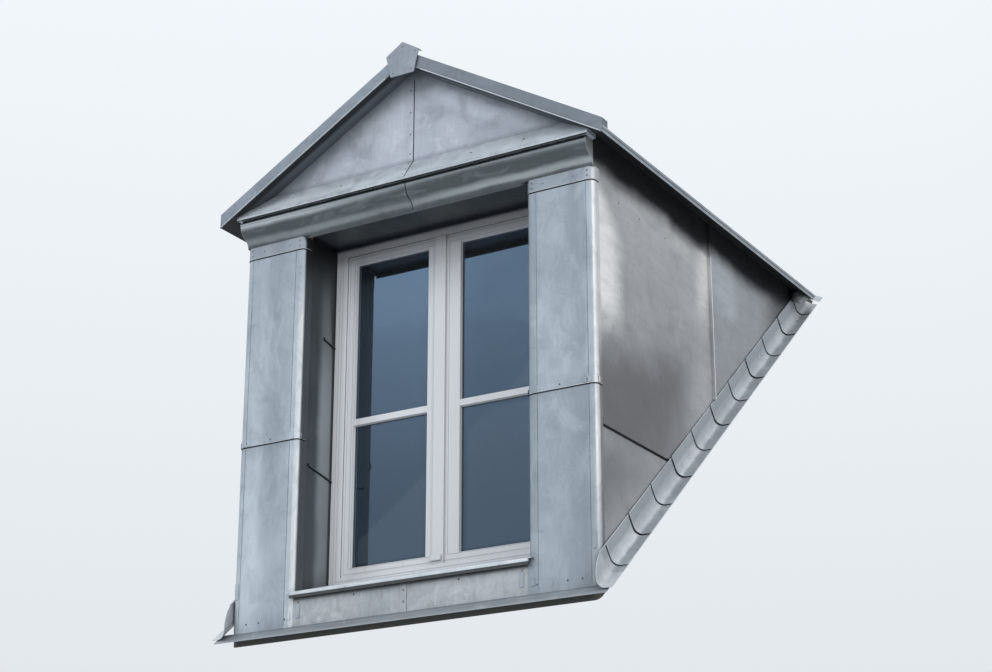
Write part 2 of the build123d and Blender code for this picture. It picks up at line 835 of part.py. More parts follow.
# Panel under the sill, lapped at its centre
with BuildPart() as apron_panel:
    panel_half = reveal - seam_gap
    panel_top = sill_z(face - lap_step, -sheet) - seam_gap
    block(-panel_half, -half_gap, face, timber_face, above_seat(face), panel_top)
    block(half_gap, panel_half, face, timber_face, above_seat(face), panel_top)
    block(-pediment_lap, -half_gap, face - lap_step, face, above_seat(face), panel_top)
    split(bisect_by=slope_plane(apron_top), keep=Keep.TOP)

# Sill sheet, sloping out of the recess to a turned-down nose
with BuildPart() as sill_ledge:
    nose_front = face - sill_nose
    nose_top = sill_z(nose_front)
    slab_outline = [
        (frame_front, sill_back),
        (frame_front, sill_back - sheet),
        (nose_front, nose_top - sheet),
        (nose_front, nose_top),
    ]
    slab_half = reveal + corner_radius
    side_prism(slab_outline, -slab_half, slab_half)
    extrude(pilaster_plan(seam_gap), amount=head, mode=Mode.SUBTRACT)
    mirror(about=Plane.YZ, mode=Mode.INTERSECT)
    nose_half = reveal + sill_ear
    nose_slab = [
        (face - lap_step - seam_gap, sill_z(face - lap_step - seam_gap)),
        (face - lap_step - seam_gap, sill_z(face - lap_step - seam_gap, -sheet)),
        (nose_front + sheet, sill_z(nose_front + sheet, -sheet)),
        (nose_front + sheet, nose_top - sill_nose_height),
        (nose_front, nose_top - sill_nose_height),
        (nose_front, nose_top),
    ]
    side_prism(nose_slab, -nose_half, nose_half)

# Window frame between the recess boards, rebated at the back for the sashes
frame_bottom = sill_back - sheet
frame_open_half = reveal - frame_side
frame_open_foot = sill_back + frame_foot
frame_open_head = soffit - frame_head
sash_front = frame_front + sash_setback
with BuildPart() as window_frame:
    frame_half = jamb_inner - seam_gap
    block(-frame_half, frame_half, frame_front, frame_back, frame_bottom, head_board_bottom - seam_gap)
    block(
        -frame_open_half,
        frame_open_half,
        frame_front,
        frame_back,
        frame_open_foot,
        frame_open_head,
        mode=Mode.SUBTRACT,
    )
    rebate_half = frame_open_half + sash_overlap
    block(
        -rebate_half,
        rebate_half,
        sash_front,
        frame_back,
        frame_open_foot - sash_overlap,
        frame_open_head + sash_overlap,
        mode=Mode.SUBTRACT,
    )

sash_back = sash_front + sash_depth
sash_foot_z = frame_open_foot - sash_overlap + sash_gap
sash_head_z = frame_open_head + sash_overlap - sash_gap
light_foot = frame_open_foot + sash_foot
light_head = frame_open_head - sash_head
light_outer = frame_open_half - sash_side
bar_low = foot + bar_centre - bar_height / 2
bar_high = bar_low + bar_height

# Sashes against the frame's lip, each with one glazing bar, the left one with the cover strip
with BuildPart() as sash_right:
    sash_outer = rebate_half - sash_gap
    block(sash_gap / 2, sash_outer, sash_front, sash_back, sash_foot_z, sash_head_z)
    block(meeting_half, light_outer, sash_front, sash_back, light_foot, bar_low, mode=Mode.SUBTRACT)
    block(meeting_half, light_outer, sash_front, sash_back, bar_high, light_head, mode=Mode.SUBTRACT)

with BuildPart() as sash_left:
    mirror(sash_right.part, about=Plane.YZ)
    cover_end = meeting_centre - meeting_cover
    cover_front = sash_front - meeting_cover_depth
    cover_foot = frame_open_foot + sash_gap
    cover_head = frame_open_head - sash_gap
    block(cover_end, meeting_centre, cover_front, sash_front - seam_gap, cover_foot, cover_head)
    block(cover_end, -sash_gap / 2, sash_front - seam_gap, sash_front, cover_foot, cover_head)

# Panes, one above and one below each bar
with BuildPart() as panes:
    pane_front = frame_front + glass_setback
    pane_in = meeting_half + seam_gap
    pane_out = light_outer - seam_gap
    block(pane_in, pane_out, pane_front, pane_front + glass, light_foot + seam_gap, bar_low - seam_gap)
    block(pane_in, pane_out, pane_front, pane_front + glass, bar_high + seam_gap, light_head - seam_gap)
    mirror(about=Plane.YZ)

pieces = {
    "sole_plate_front": sole_plate_front,
    "side_sole_plates": side_sole_plates,
    "post_left": post_left,
    "post_right": post_right,
    "sill_beam": sill_beam,
    "jamb_boards": jamb_boards,
    "head_board": head_board,
    "lintel": lintel,
    "wall_plates": wall_plates,
    "cheek_studs": cheek_studs,
    "cheek_boarding_left": cheek_boarding_left,
    "cheek_boarding_right": cheek_boarding_right,
    "gable_boarding": gable_boarding,
    "ridge_board": ridge_board,
    "rafters": rafters,
    "valley_boards": valley_boards,
    "roof_boarding_left": roof_boarding_left,
    "roof_boarding_right": roof_boarding_right,
    "roof_sheets_left": roof_sheets_left,
    "roof_sheets_right": roof_sheets_right,
    "ridge_cap": ridge_cap,
    "verge_left": verge_left,
    "verge_right": verge_right,
    "apex_cap": apex_cap,
    "cornice": cornice,
    "pediment_ledge": pediment_ledge,
    "pediment_sheets": pediment_sheets,
    "pilaster_sheets_left": pilaster_sheets_left,
    "pilaster_sheets_right": pilaster_sheets_right,
    "pilaster_heads": pilaster_heads,
    "reveals": reveals,
    "recess_soffit": recess_soffit,
    "cheek_sheets_left": cheek_sheets_left,
    "cheek_sheets_right": cheek_sheets_right,
    "soakers_left": soakers_left,
    "soakers_right": soakers_right,
    "valley_flashing_left": valley_flashing_left,
    "valley_flashing_right": valley_flashing_right,
    "front_apron": front_apron,
    "apron_panel": apron_panel,
    "sill_ledge": sill_ledge,
    "window_frame": window_frame,
    "sash_left": sash_left,
    "sash_right": sash_right,
    "panes": panes,
}
os.makedirs("parts", exist_ok=True)
for name, piece in pieces.items():
    piece.part.label = name
    export_step(piece.part, f"parts/{name}.step")
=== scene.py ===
import bpy
import bmesh
from math import atan, cos, floor, pi, radians, sin, tan
from mathutils import Matrix, Vector


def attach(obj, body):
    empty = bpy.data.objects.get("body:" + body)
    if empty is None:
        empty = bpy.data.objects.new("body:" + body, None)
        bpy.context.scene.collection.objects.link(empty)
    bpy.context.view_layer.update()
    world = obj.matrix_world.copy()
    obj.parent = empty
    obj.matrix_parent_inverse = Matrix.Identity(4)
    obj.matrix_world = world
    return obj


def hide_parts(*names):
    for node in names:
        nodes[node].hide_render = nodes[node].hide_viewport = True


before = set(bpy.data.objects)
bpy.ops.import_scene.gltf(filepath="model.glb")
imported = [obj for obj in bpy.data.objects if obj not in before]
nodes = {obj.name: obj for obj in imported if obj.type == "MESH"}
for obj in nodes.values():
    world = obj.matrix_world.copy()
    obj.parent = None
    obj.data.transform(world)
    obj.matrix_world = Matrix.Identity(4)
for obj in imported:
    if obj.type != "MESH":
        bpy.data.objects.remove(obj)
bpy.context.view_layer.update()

# Sizes and angles that the pieces share with the CAD model, in metres and radians
slope = radians(40.0)
roof_angle = radians(30.4)
rise = tan(slope)
fall = tan(roof_angle)
sheet = 0.002
face = -0.062
outer = 0.750
reveal = 0.480
pilaster_corner = 0.022
slate_build = 0.036
foot = rise * face + (slate_build + sheet) / cos(slope) + 0.0003
head = foot + 1.494
soffit = head + 0.009
lap = foot + 0.697
cheek_seam = face + 0.925
cheek_lap = foot + 0.558
frame_front = face + 0.212
sill_back = foot + 0.191
sill_slope = tan(radians(17.0))
nose_front = face - 0.015
eave_half = 0.829
eave_under = head + 0.078
overhang_front = face - 0.077
verge_height = 0.056
ledge_front = face - 0.062
cornice_top = head + 0.100
ledge_top = cornice_top + 0.008
fold = ledge_top + 0.088

# Soakers: lengths are measured up the slope, heights square to it
soaker_course = 0.224
soaker_length = soaker_course + 0.060
soaker_lift = (sheet + 0.0003) * soaker_length / soaker_course
soaker_width = 0.054
soaker_radius = 0.030
soaker_foot = slate_build + 0.003
soaker_reach = 0.110 * cos(slope)
soaker_top = soaker_foot + soaker_reach + soaker_lift + 0.0003
first_lap = (face + 0.034) / cos(slope) + soaker_top * tan(slope)

plank_pitch = 0.132
sides = (-1, 1)
both_sides = tuple(zip(sides, ("left", "right")))
deep_shade = (0.012, 0.013, 0.014)
to_front = Vector((0, -1, 0))


def above_seat(y, square_height):
    """The height of a line that lies so far above the main roof."""
    return rise * y + square_height / cos(slope)


def roof_z(x, offset=0.0):
    """The height of the overhang's lower face, or of a plane that lies so far above it."""
    return eave_under + fall * (eave_half - abs(x)) + offset


nose_crown = sill_back - sill_slope * (frame_front - nose_front)
soakers_end = roof_z(outer) / rise / cos(slope)


# Mesh helpers

def add_object(name, data):
    thing = bpy.data.objects.new(name, data)
    bpy.context.scene.collection.objects.link(thing)
    return thing


def finish_piece(name, bm, material, smooth=True, bevel=0.0, stands_for=()):
    bmesh.ops.remove_doubles(bm, verts=bm.verts, dist=1e-6)
    bmesh.ops.recalc_face_normals(bm, faces=bm.faces)
    mesh = bpy.data.meshes.new(name)
    bm.to_mesh(mesh)
    bm.free()
    piece = add_object(name, mesh)
    if smooth:
        mesh.shade_smooth()
        mesh.set_sharp_from_angle(angle=radians(35))
    mesh.materials.append(material)
    if bevel:
        add_bevel(piece, bevel)
    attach(piece, "root")
    if stands_for:
        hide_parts(*stands_for)


def add_bevel(piece, width):
    modifier = piece.modifiers.new("edge", "BEVEL")
    modifier.width = width
    modifier.segments = 2
    modifier.limit_method = "ANGLE"
    modifier.angle_limit = radians(40)


def bridge(bm, low, high):
    """A row of faces between two rings of corners."""
    for k in range(len(low)):
        following = (k + 1) % len(low)
        bm.faces.new((low[k], low[following], high[following], high[k]))


def circle(bm, middle, side, other, radius, segments):
    """A ring of corners in the plane of two directions."""
    angles = [2 * pi * k / segments for k in range(segments)]
    return [bm.verts.new(middle + side * (radius * cos(a)) + other * (radius * sin(a))) for a in angles]


def loft(bm, rings):
    """A closed solid through rings of corners."""
    for low, high in zip(rings, rings[1:]):
        bridge(bm, low, high)
    bm.faces.new(list(reversed(rings[0])))
    bm.faces.new(rings[-1])


def tube(bm, points, radius, segments=8):
    """A round rod that follows the points."""
    points = [Vector(point) for point in points]
    rings = []
    side = None
    for i, point in enumerate(points):
        along = (points[min(i + 1, len(points) - 1)] - points[max(i - 1, 0)]).normalized()
        if side is None:
            side = along.orthogonal().normalized()
        side = (side - along * side.dot(along)).normalized()
        rings.append(circle(bm, point, side, along.cross(side), radius, segments))
    loft(bm, rings)


def prism(bm, outline, vector):
    """A closed solid: a flat outline run along a vector."""
    ends = (Vector(), Vector(vector))
    loft(bm, [[bm.verts.new(Vector(point) + end) for point in outline] for end in ends])


def box(bm, x0, x1, y0, y1, z0, z1):
    prism(bm, [(x0, y0, z0), (x1, y0, z0), (x1, y1, z0), (x0, y1, z0)], (0, 0, z1 - z0))


def dome(bm, middle, normal, radius, height):
    """A nail or rivet head."""
    middle, normal = Vector(middle), Vector(normal).normalized()
    side = normal.orthogonal().normalized()
    rings = []
    for angle in (0.0, pi / 4, 0.425 * pi):
        level = middle + normal * (height * sin(angle))
        rings.append(circle(bm, level, side, normal.cross(side), radius * cos(angle), 12))
    loft(bm, rings)


def picture_frame(bm, x0, x1, z0, z1, section):
    """A mitred frame round an opening. The section is a list of (inward, y) points."""
    rings = []
    for inward, y in section:
        left, right, low, high = x0 + inward, x1 - inward, z0 + inward, z1 - inward
        corners = ((left, low), (right, low), (right, high), (left, high))
        rings.append([bm.verts.new((x, y, z)) for x, z in corners])
    for low, high in zip(rings, rings[1:] + rings[:1]):
        bridge(bm, low, high)


def arc(middle, radius, start, end, steps):
    """Points on an arc in a plane, from one angle to another."""
    angles = [start + (end - start) * k / steps for k in range(steps + 1)]
    return [(middle[0] + radius * cos(a), middle[1] + radius * sin(a)) for a in angles]


# Shader helpers

class Field:
    """A value that varies over a surface. Each sum with it adds a maths node to its tree."""

    def __init__(self, socket):
        self.socket = socket
        self.tree = socket.id_data

    def maths(self, operation, first, second=0.0):
        return put(self.tree, "Math", {0: first, 1: second}, operation=operation)

    def __add__(self, other):
        return self.maths("ADD", self, other)

    def __sub__(self, other):
        return self.maths("SUBTRACT", self, other)

    def __rsub__(self, other):
        return self.maths("SUBTRACT", other, self)

    def __mul__(self, other):
        return self.maths("MULTIPLY", self, other)

    def __truediv__(self, other):
        return self.maths("DIVIDE", self, other)

    def __abs__(self):
        return self.maths("ABSOLUTE", self)

    def __floor__(self):
        return self.maths("FLOOR", self)

    def fraction(self):
        return self.maths("FRACT", self)

    def at_least(self, other):
        return self.maths("MAXIMUM", self, other)

    def at_most(self, other):
        return self.maths("MINIMUM", self, other)

    def dot(self, vector):
        return put(self.tree, "VectorMath", {0: self, 1: vector}, "Value", operation="DOT_PRODUCT")

    def distance(self, vector):
        return put(self.tree, "VectorMath", {0: self, 1: vector}, "Value", operation="DISTANCE")


def add_node(tree, kind, inputs, **settings):
    node = tree.nodes.new("ShaderNode" + kind)
    for key, value in settings.items():
        setattr(node, key, value)
    for key, value in inputs.items():
        if isinstance(value, Field):
            tree.links.new(value.socket, node.inputs[key])
        else:
            node.inputs[key].default_value = value
    return node


def put(tree, kind, inputs, output=0, **settings):
    """Add a node and return one of its outputs."""
    return Field(add_node(tree, kind, inputs, **settings).outputs[output])


def begin(owner, coordinates="Object"):
    """Empty the node tree of a material or the world, and return its coordinates."""
    owner.use_nodes = True
    owner.node_tree.nodes.clear()
    return put(owner.node_tree, "TexCoord", {}, coordinates)


def coat(owner, settings, kind="BsdfPrincipled", output="OutputMaterial"):
    """Give a material or the world its shader."""
    shader = put(owner.node_tree, kind, settings)
    add_node(owner.node_tree, output, {"Surface": shader})
    return owner


def place(coords):
    return [Field(socket) for socket in add_node(coords.tree, "SeparateXYZ", {0: coords}).outputs]


def grain(coords, scale, detail=4.0, stretch=(1, 1, 1), roughness=0.55, distortion=0.0):
    mapped = put(coords.tree, "Mapping", {"Vector": coords, "Scale": stretch})
    return put(coords.tree, "TexNoise", {"Vector": mapped, "Scale": scale, "Detail": detail,
                                         "Roughness": roughness, "Distortion": distortion}, "Fac")


def step_noise(index):
    """One random value for each whole number."""
    return put(index.tree, "TexWhiteNoise", {"W": index}, "Value", noise_dimensions="1D")


def crowding(tree, reach):
    """Lower where other surfaces are within reach."""
    return put(tree, "AmbientOcclusion", {"Distance": reach}, "AO", samples=6)


def bump(height, strength, depth, **normal):
    return put(height.tree, "Bump", {"Height": height, "Strength": strength, "Distance": depth, **normal})


def remap(value, low, high, to_low=0.0, to_high=1.0, curve="LINEAR"):
    inputs = {"Value": value, "From Min": low, "From Max": high, "To Min": to_low, "To Max": to_high}
    return put(value.tree, "MapRange", inputs, "Result", interpolation_type=curve)


def ease(value, low, high):
    """A smooth step from 0 at low to 1 at high, or down again where low is the larger."""
    return remap(value, low, high, curve="SMOOTHSTEP")


def band(value, rise_from, rise_to, fall_from, fall_to):
    """1 between the inner two limits and 0 beyond the outer two."""
    return ease(value, rise_from, rise_to) * ease(value, fall_to, fall_from)


def mix(factor, low, high):
    """The colour low where the factor is 0 and high where it is 1."""
    values = [(*value, 1.0) if isinstance(value, tuple) else value for value in (factor, low, high)]
    tree = next(value.tree for value in values if isinstance(value, Field))
    return put(tree, "Mix", dict(zip((0, 6, 7), values)), 2, data_type="RGBA")


def tint(colour, other, strength, *masks):
    """Mix towards another colour where all the masks are high."""
    factor = masks[0]
    for mask in masks[1:]:
        factor = factor * mask
    return mix(factor * strength, colour, other)


def shade(share, colour):
    """A darker or lighter version of a colour, with no part past 0.9."""
    return tuple(min(0.9, share * part) for part in colour)


def blotch(cloud, amount):
    """A signed offset that follows the clouds, so that marks get uneven edges."""
    return remap(cloud, 0.3, 0.7, -1.0, 1.0) * amount


# Zinc

def zinc(name, tone, light, dark, metallic=0.55, rough=0.42, run=(9, 9, 1.0), streak=0.35, bloom=0.3,
         dirt_and_shade=0.55, wave=0.2, cloud_scale=2.8, marks=None, specular=0.5):
    """Weathered zinc: cloudy patina, soft run marks, pale bloom, fine scratches, and grime with painted
    shade in the corners.
    """
    material = bpy.data.materials.new("zinc_" + name)
    coords = begin(material)
    cloud = grain(coords, cloud_scale, 6.0, roughness=0.62, distortion=0.5)
    patch = grain(coords, 14.0, 6.0, roughness=0.62, distortion=0.8)
    speck = grain(coords, 75.0, 4.0, roughness=0.6)
    runs = grain(coords, 1.0, 5.0, stretch=run, roughness=0.58, distortion=0.6)
    hairs = grain(coords, 1.0, 2.0, stretch=(230, 230, 11))
    colour = mix(remap(cloud, 0.36, 0.66), tone, light)
    colour = mix(remap(runs, 0.50, 0.74, 0.0, streak), colour, dark)
    colour = mix(remap(patch, 0.54, 0.78, 0.0, bloom), colour, (0.80, 0.84, 0.87))
    colour = mix(remap(patch, 0.44, 0.24, 0.0, 0.5), colour, dark)
    colour = mix(remap(speck, 0.60, 0.80, 0.0, 0.35), colour, dark)
    colour = mix(remap(hairs, 0.42, 0.75, 0.0, 0.20), colour, dark)
    for other, strength, *masks in marks(coords, cloud) if marks else ():
        colour = tint(colour, other, strength, *masks)
    # Grime and painted shade: darker where other surfaces are close, as the AO node finds
    if dirt_and_shade:
        soot_and_shade = remap(crowding(coords.tree, 0.08), 0.92, 0.35) * dirt_and_shade
        colour = mix(soot_and_shade, colour, shade(0.30, dark))
    waves = bump(grain(coords, 2.6, 1.0), wave, 0.03)
    pits = grain(coords, 240.0, 2.0) * 0.35 + patch
    return coat(material, {
        "Base Color": colour,
        "Metallic": metallic,
        "Roughness": remap(patch, 0.3, 0.7, rough - 0.07, rough + 0.13),
        "Specular IOR Level": specular,
        "Normal": bump(pits, 0.22, 0.0012, Normal=waves),
    })


# Marks on the zinc: each one is a colour, a strength and the masks that bound it

def pilaster_marks(coords, cloud):
    """A soft grey band down each pilaster, bright edge strips and a paler left foot as painted highlights,
    returns that are dull, and painted shade on the returns in the recess.
    """
    x, y, z = place(coords)
    shifted = x + blotch(cloud, 0.022)
    left = band(shifted, -0.655, -0.600, -0.575, -0.520)
    right = band(shifted, 0.615, 0.675, 0.705, 0.738)
    broken = remap(grain(coords, 1.0, stretch=(12, 12, 2.6), distortion=0.5), 0.32, 0.60, 0.25, 1.0)
    yield (0.21, 0.245, 0.28), 0.55, left.at_least(right), broken
    yield (0.17, 0.20, 0.23), 0.40, band(x, 0.470, 0.481, 0.500, 0.535)
    # Painted highlight: a paler band low on the left pilaster
    bright = band(x + blotch(cloud, 0.010), -0.735, -0.705, -0.665, -0.625)
    yield (0.60, 0.67, 0.72), 0.42, bright, ease(z, 0.76, 0.62)
    yield (0.20, 0.225, 0.255), 0.18, ease(z, 0.75, 1.30)
    # Painted highlight: a paler foot on the left pilaster
    yield (0.56, 0.62, 0.66), 0.30, band(z, -0.05, 0.10, 0.18, 0.55), ease(x, 0.1, -0.1)
    yield (0.24, 0.27, 0.30), 0.34, ease(x, -0.1, 0.1), ease(z, 0.8, 0.3)
    # Painted highlights on the rounded corners: bright strips by the left pilaster's inner edge and the
    # right pilaster's outer edge
    strip = band(x, -0.5215, -0.5195, -0.480, -0.470) * ease(z, 1.34, 1.0)
    strip = strip.at_least(band(x, 0.7185, 0.7205, 0.760, 0.770) * 0.35)
    corner_highlight = band(x, 0.7385, 0.7430, 0.760, 0.770)
    inner_corner_highlight = band(x, -0.5020, -0.4985, -0.470, -0.460) * ease(z, 1.36, 1.16)
    patchy = remap(grain(coords, 1.0, stretch=(20, 20, 4.0), distortion=0.6), 0.30, 0.62, 0.35, 1.0)
    yield (0.64, 0.70, 0.74), 0.42, strip, patchy
    yield (0.84, 0.83, 0.81), 0.74, corner_highlight, ease(z, -0.10, 0.60)
    yield (0.80, 0.80, 0.80), 0.46, inner_corner_highlight
    yield (0.20, 0.22, 0.245), 0.32, ease(z, head - 0.0485, head - 0.0475)
    smudge = grain(coords, 11.0, 6.0, stretch=(1, 1, 0.55), roughness=0.68, distortion=1.2)
    yield (0.215, 0.245, 0.275), 0.34, remap(smudge, 0.46, 0.66)
    haze = grain(coords, 7.0, 6.0, stretch=(1, 1, 0.5), roughness=0.66, distortion=0.8)
    yield (0.62, 0.69, 0.74), 0.30, remap(haze, 0.52, 0.70)
    joint = band(z, lap - 0.055, lap - 0.004, lap + 0.002, lap + 0.004)
    yield (0.13, 0.15, 0.17), 0.30, joint, patchy
    rust = remap(grain(coords, 1.0, stretch=(34, 34, 16)), 0.60, 0.72)
    yield (0.24, 0.19, 0.13), 0.35, rust, ease(z, 0.16, 0.03)
    side_face = ease(x, outer - 0.0014, outer - 0.0004) * ease(y, -0.046, -0.036)
    yield (0.150, 0.153, 0.158), 0.80, side_face, ease(z, 0.98, 0.74)
    # Painted shade on the returns inside the recess, darkest under the ceiling
    inside = ease(y, -0.056, -0.046) * ease(abs(x), reveal + 0.012, reveal + 0.002)
    yield (0.060, 0.068, 0.073), 0.93, inside
    yield deep_shade, 0.85, inside, ease(z, soffit - 0.22, soffit - 0.08)


def cheek_marks(coords, cloud):
    """Painted highlights as pale bloom by the corner, the seam and the soakers, painted shade on a dull
    lower part, and a painted eave shadow as a dark strip under the eave.
    """
    _, y, z = place(coords)
    wander = blotch(cloud, 0.07)
    raised = z + wander
    rear = ease(y, cheek_seam + 0.0015, cheek_seam + 0.0035)
    front = 1.0 - rear
    tall = ease(z, cheek_lap - 0.006, cheek_lap - 0.002)
    yield (0.30, 0.335, 0.375), 0.42, rear
    # Painted shade: a dull lower front part of the upper sheet
    dull = ease(raised - y * 0.30, 0.95, 0.66)
    yield (0.115, 0.115, 0.12), 0.80, dull, tall, front, ease(y, 0.86, 0.48)
    # Painted highlights: a pale upper front area and a pale area behind the seam
    yield (0.64, 0.64, 0.65), 0.30, ease(raised, 1.08, 1.26), band(y, 0.05, 0.12, 0.66, 0.74)
    behind_seam = band(y, 0.885, 0.91, 1.06, 1.16)
    yield (0.66, 0.70, 0.74), 0.42, ease(raised, 1.22, 1.34), behind_seam
    # Painted shade: a dark strip just behind the seam
    yield (0.20, 0.21, 0.22), 0.35, band(y, 0.867, 0.870, 0.884, 0.905), ease(z, 1.34, 1.24)
    low = 1.0 - tall
    above = z - y * rise
    below_lap = 1.0 - ease(z, 0.40, 0.52) * 0.55
    yield (0.155, 0.157, 0.163), 0.75, low, ease(above, 0.02, 0.42), below_lap
    # Painted highlight: pale bloom by the front corner, widest at the top
    width = ((1.49 - z) * 0.52).at_most(0.118)
    close = y + wander * 0.35
    corner = ease(close - width, 0.052, -0.080) * band(raised, 0.82, 1.02, 1.44, 1.50)
    yield (0.97, 0.96, 0.94), 0.92, corner
    drift = remap(grain(coords, 3.2, 5.0, distortion=0.9), 0.34, 0.62, 0.25, 1.0)
    # Painted highlight: pale bloom in front of the seam
    seam = band(close, 0.69, 0.81, 0.825, 0.872) * band(raised, 1.10, 1.34, 1.42, 1.47)
    yield (0.90, 0.89, 0.87), 0.80, seam, front
    # Painted highlight low on the cheek, beside the soakers
    by_soakers = ease(y, 0.56, 0.76) * band(above, 0.02, 0.10, 0.24, 0.40)
    yield (0.62, 0.62, 0.62), 0.40, by_soakers, front
    # Painted highlight: a pale glancing streak under the eave shadow
    streak = raised + y * 0.25
    glance_highlight = band(streak, 1.47, 1.54, 1.56, 1.62) * band(y, 0.12, 0.40, 0.60, 0.90)
    yield (0.70, 0.70, 0.69), 0.62, glance_highlight, drift
    # Painted light on the lower part, back from the corner
    lit = ease(above, 0.46, 0.14) * ease(y, 0.05, 0.45)
    yield (0.44, 0.445, 0.455), 0.55, lit, drift
    brushed = remap(grain(coords, 1.0, stretch=(9, 9, 30), distortion=0.7), 0.42, 0.70)
    yield (0.20, 0.20, 0.205), 0.22, brushed
    # Painted eave shadow: a near-black strip under the eave, reaching lower by the seam
    by_seam = band(y, 0.36, 0.72, 0.78, 0.90) * 0.022
    in_front = ease(y, 0.14, 0.02) * 0.014
    eave_line = z + wander * 0.30 + by_seam - in_front - y * 0.012
    eave_shadow = ease(eave_line, 1.445, 1.528)
    yield (0.005, 0.0055, 0.006), 0.985, eave_shadow
    back = ease(z - y * 0.66, 0.62, 0.50)
    yield (0.03, 0.033, 0.036), 0.80, back, ease(y, 1.30, 1.60)


def cornice_marks(coords, cloud):
    """Painted reflections: a pale lip, a dark belly, a lighter hollow on the right and a dark lower edge,
    with painted shadow under the drip and painted light on the end plates.
    """
    x, _, z = place(coords)
    level = z + blotch(cloud, 0.004)
    right = ease(x, -0.25, 0.35)
    left = ease(x, 0.10, -0.60)
    # Painted reflections of the glossy moulding: a dark belly, a lighter hollow, a dark lower edge, a pale
    # shoulder on the left and a pale lip
    belly = band(level, head + 0.024, head + 0.040, head + 0.060, head + 0.076)
    yield (0.062, 0.073, 0.078), 0.80, belly
    hollow = band(level, head + 0.008, head + 0.018, head + 0.026, head + 0.036)
    yield (0.42, 0.46, 0.47), 0.72, hollow, right.at_least(0.35)
    streaks = remap(grain(coords, 1.0, stretch=(7, 7, 46), distortion=0.9), 0.50, 0.68)
    yield (0.30, 0.335, 0.35), 0.24, streaks, ease(level, head + 0.070, head + 0.050)
    edge = ease(level, head + 0.016, head + 0.002)
    yield (0.06, 0.068, 0.072), 0.65, edge
    shoulder = ease(level, head + 0.054, head + 0.074)
    yield (0.52, 0.56, 0.58), 0.85, shoulder, left
    lip = ease(level, head + 0.070, head + 0.078)
    yield (0.27, 0.30, 0.315), 0.60, lip
    # Painted shadow under the ledge's drip
    yield (0.010, 0.011, 0.012), 0.97, ease(z, head + 0.0825, head + 0.0850)
    # Painted light on the end plates
    yield (0.55, 0.57, 0.58), 0.75, ease(abs(x), outer - 0.0015, outer - 0.0005)


def ledge_marks(coords, cloud):
    """Soft stains across the ledge, a painted highlight along the pale lower edge, painted light on the pale
    right end, and a duller fold.
    """
    x, _, z = place(coords)
    stain = remap(grain(coords, 1.0, 5.0, stretch=(9, 9, 9), distortion=1.1), 0.48, 0.66)
    yield (0.21, 0.235, 0.26), 0.55, stain
    # Painted highlight: a pale band along the lower edge
    low = band(z, ledge_top + 0.002, ledge_top + 0.010, ledge_top + 0.020, ledge_top + 0.05)
    yield (0.55, 0.61, 0.66), 0.30, low
    # Painted light on the right end, against the verge's shade
    yield (0.60, 0.66, 0.72), 0.30, ease(x, 0.38, 0.66)
    yield (0.20, 0.22, 0.24), 0.45, ease(z, fold - 0.012, fold - 0.002)


def pediment_marks(coords, cloud):
    """Soft grey clouds, painted shadow by the left verge, dull along the foot, and pale by the right verge.
    """
    x, _, z = place(coords)
    below = roof_z(0) - z - abs(x) * fall + blotch(cloud, 0.02)
    # Painted shadow by the left verge
    yield (0.12, 0.135, 0.155), 0.45, ease(below, 0.060, 0.005), ease(x, 0.06, -0.02)
    by_verge = band(below, 0.010, 0.025, 0.060, 0.100)
    yield (0.60, 0.65, 0.71), 0.40, by_verge, ease(x, 0.0, 0.1)
    low_right = ease(x, 0.10, 0.40) * ease(z, fold + 0.11, fold + 0.03)
    yield (0.185, 0.205, 0.235), 0.32, low_right
    smoke = remap(grain(coords, 6.5, 6.0, distortion=1.0), 0.50, 0.68)
    yield (0.185, 0.20, 0.23), 0.42, smoke
    foot_line = band(z, fold - 0.01, fold, fold + 0.004, fold + 0.018)
    yield (0.16, 0.175, 0.20), 0.35, foot_line


def apex_marks(coords, cloud):
    """The flush heads of five nails, each with a pale rim."""
    for x, drop in ((0.0, 0.022), (-0.056, 0.052), (0.056, 0.052), (-0.040, 0.122), (0.040, 0.122)):
        spot = Vector((x, overhang_front - 0.0073, roof_z(0, verge_height) + 0.031 - drop))
        away = coords.distance(spot)
        yield (0.40, 0.42, 0.44), 0.50, ease(away, 0.0062, 0.0046)
        yield (0.045, 0.047, 0.050), 0.90, ease(away, 0.0042, 0.0032)


def underside(coords):
    """The overhang's lower face in painted shade: dark, with a paler strip by the wall."""
    x, y, z = place(coords)
    height = z - roof_z(0) + abs(x) * fall
    below = ease(height, 0.0012, 0.0004) * ease(abs(x), eave_half - 0.0004, eave_half - 0.0012)
    behind_lip = ease(y, overhang_front + 0.0005, overhang_front + 0.0015)
    yield deep_shade, 0.96, below, behind_lip
    by_wall = band(y, -0.118, -0.098, -0.060, -0.054)
    on_gable = ease(abs(x), 0.765, 0.745)
    yield (0.150, 0.168, 0.188), 0.92, below, by_wall, on_gable


def roof_marks(coords, cloud):
    """A dark line of painted shade along the eave's fold."""
    x, _, z = place(coords)
    level = eave_under + 0.0155
    line = band(z, level - 0.0030, level - 0.0018, level + 0.0018, level + 0.0030)
    edge = ease(abs(x), eave_half - 0.0008, eave_half - 0.0004)
    yield (0.035, 0.037, 0.040), 0.92, line, edge
    yield from underside(coords)


def verge_marks(coords, cloud):
    """The right verge is duller than the left one."""
    x, _, _ = place(coords)
    yield (0.105, 0.120, 0.138), 0.42, ease(x, -0.05, 0.05)
    yield from underside(coords)


def panel_marks(coords, cloud):
    """A dark line in the sill's shade and rust along the foot."""
    _, _, z = place(coords)
    shade = ease(z, foot + 0.086, foot + 0.104)
    yield (0.016, 0.017, 0.018), 0.97, shade
    rust = remap(grain(coords, 1.0, stretch=(30, 30, 18)), 0.58, 0.72)
    yield (0.25, 0.20, 0.14), 0.40, rust, ease(z, foot + 0.075, foot + 0.02)


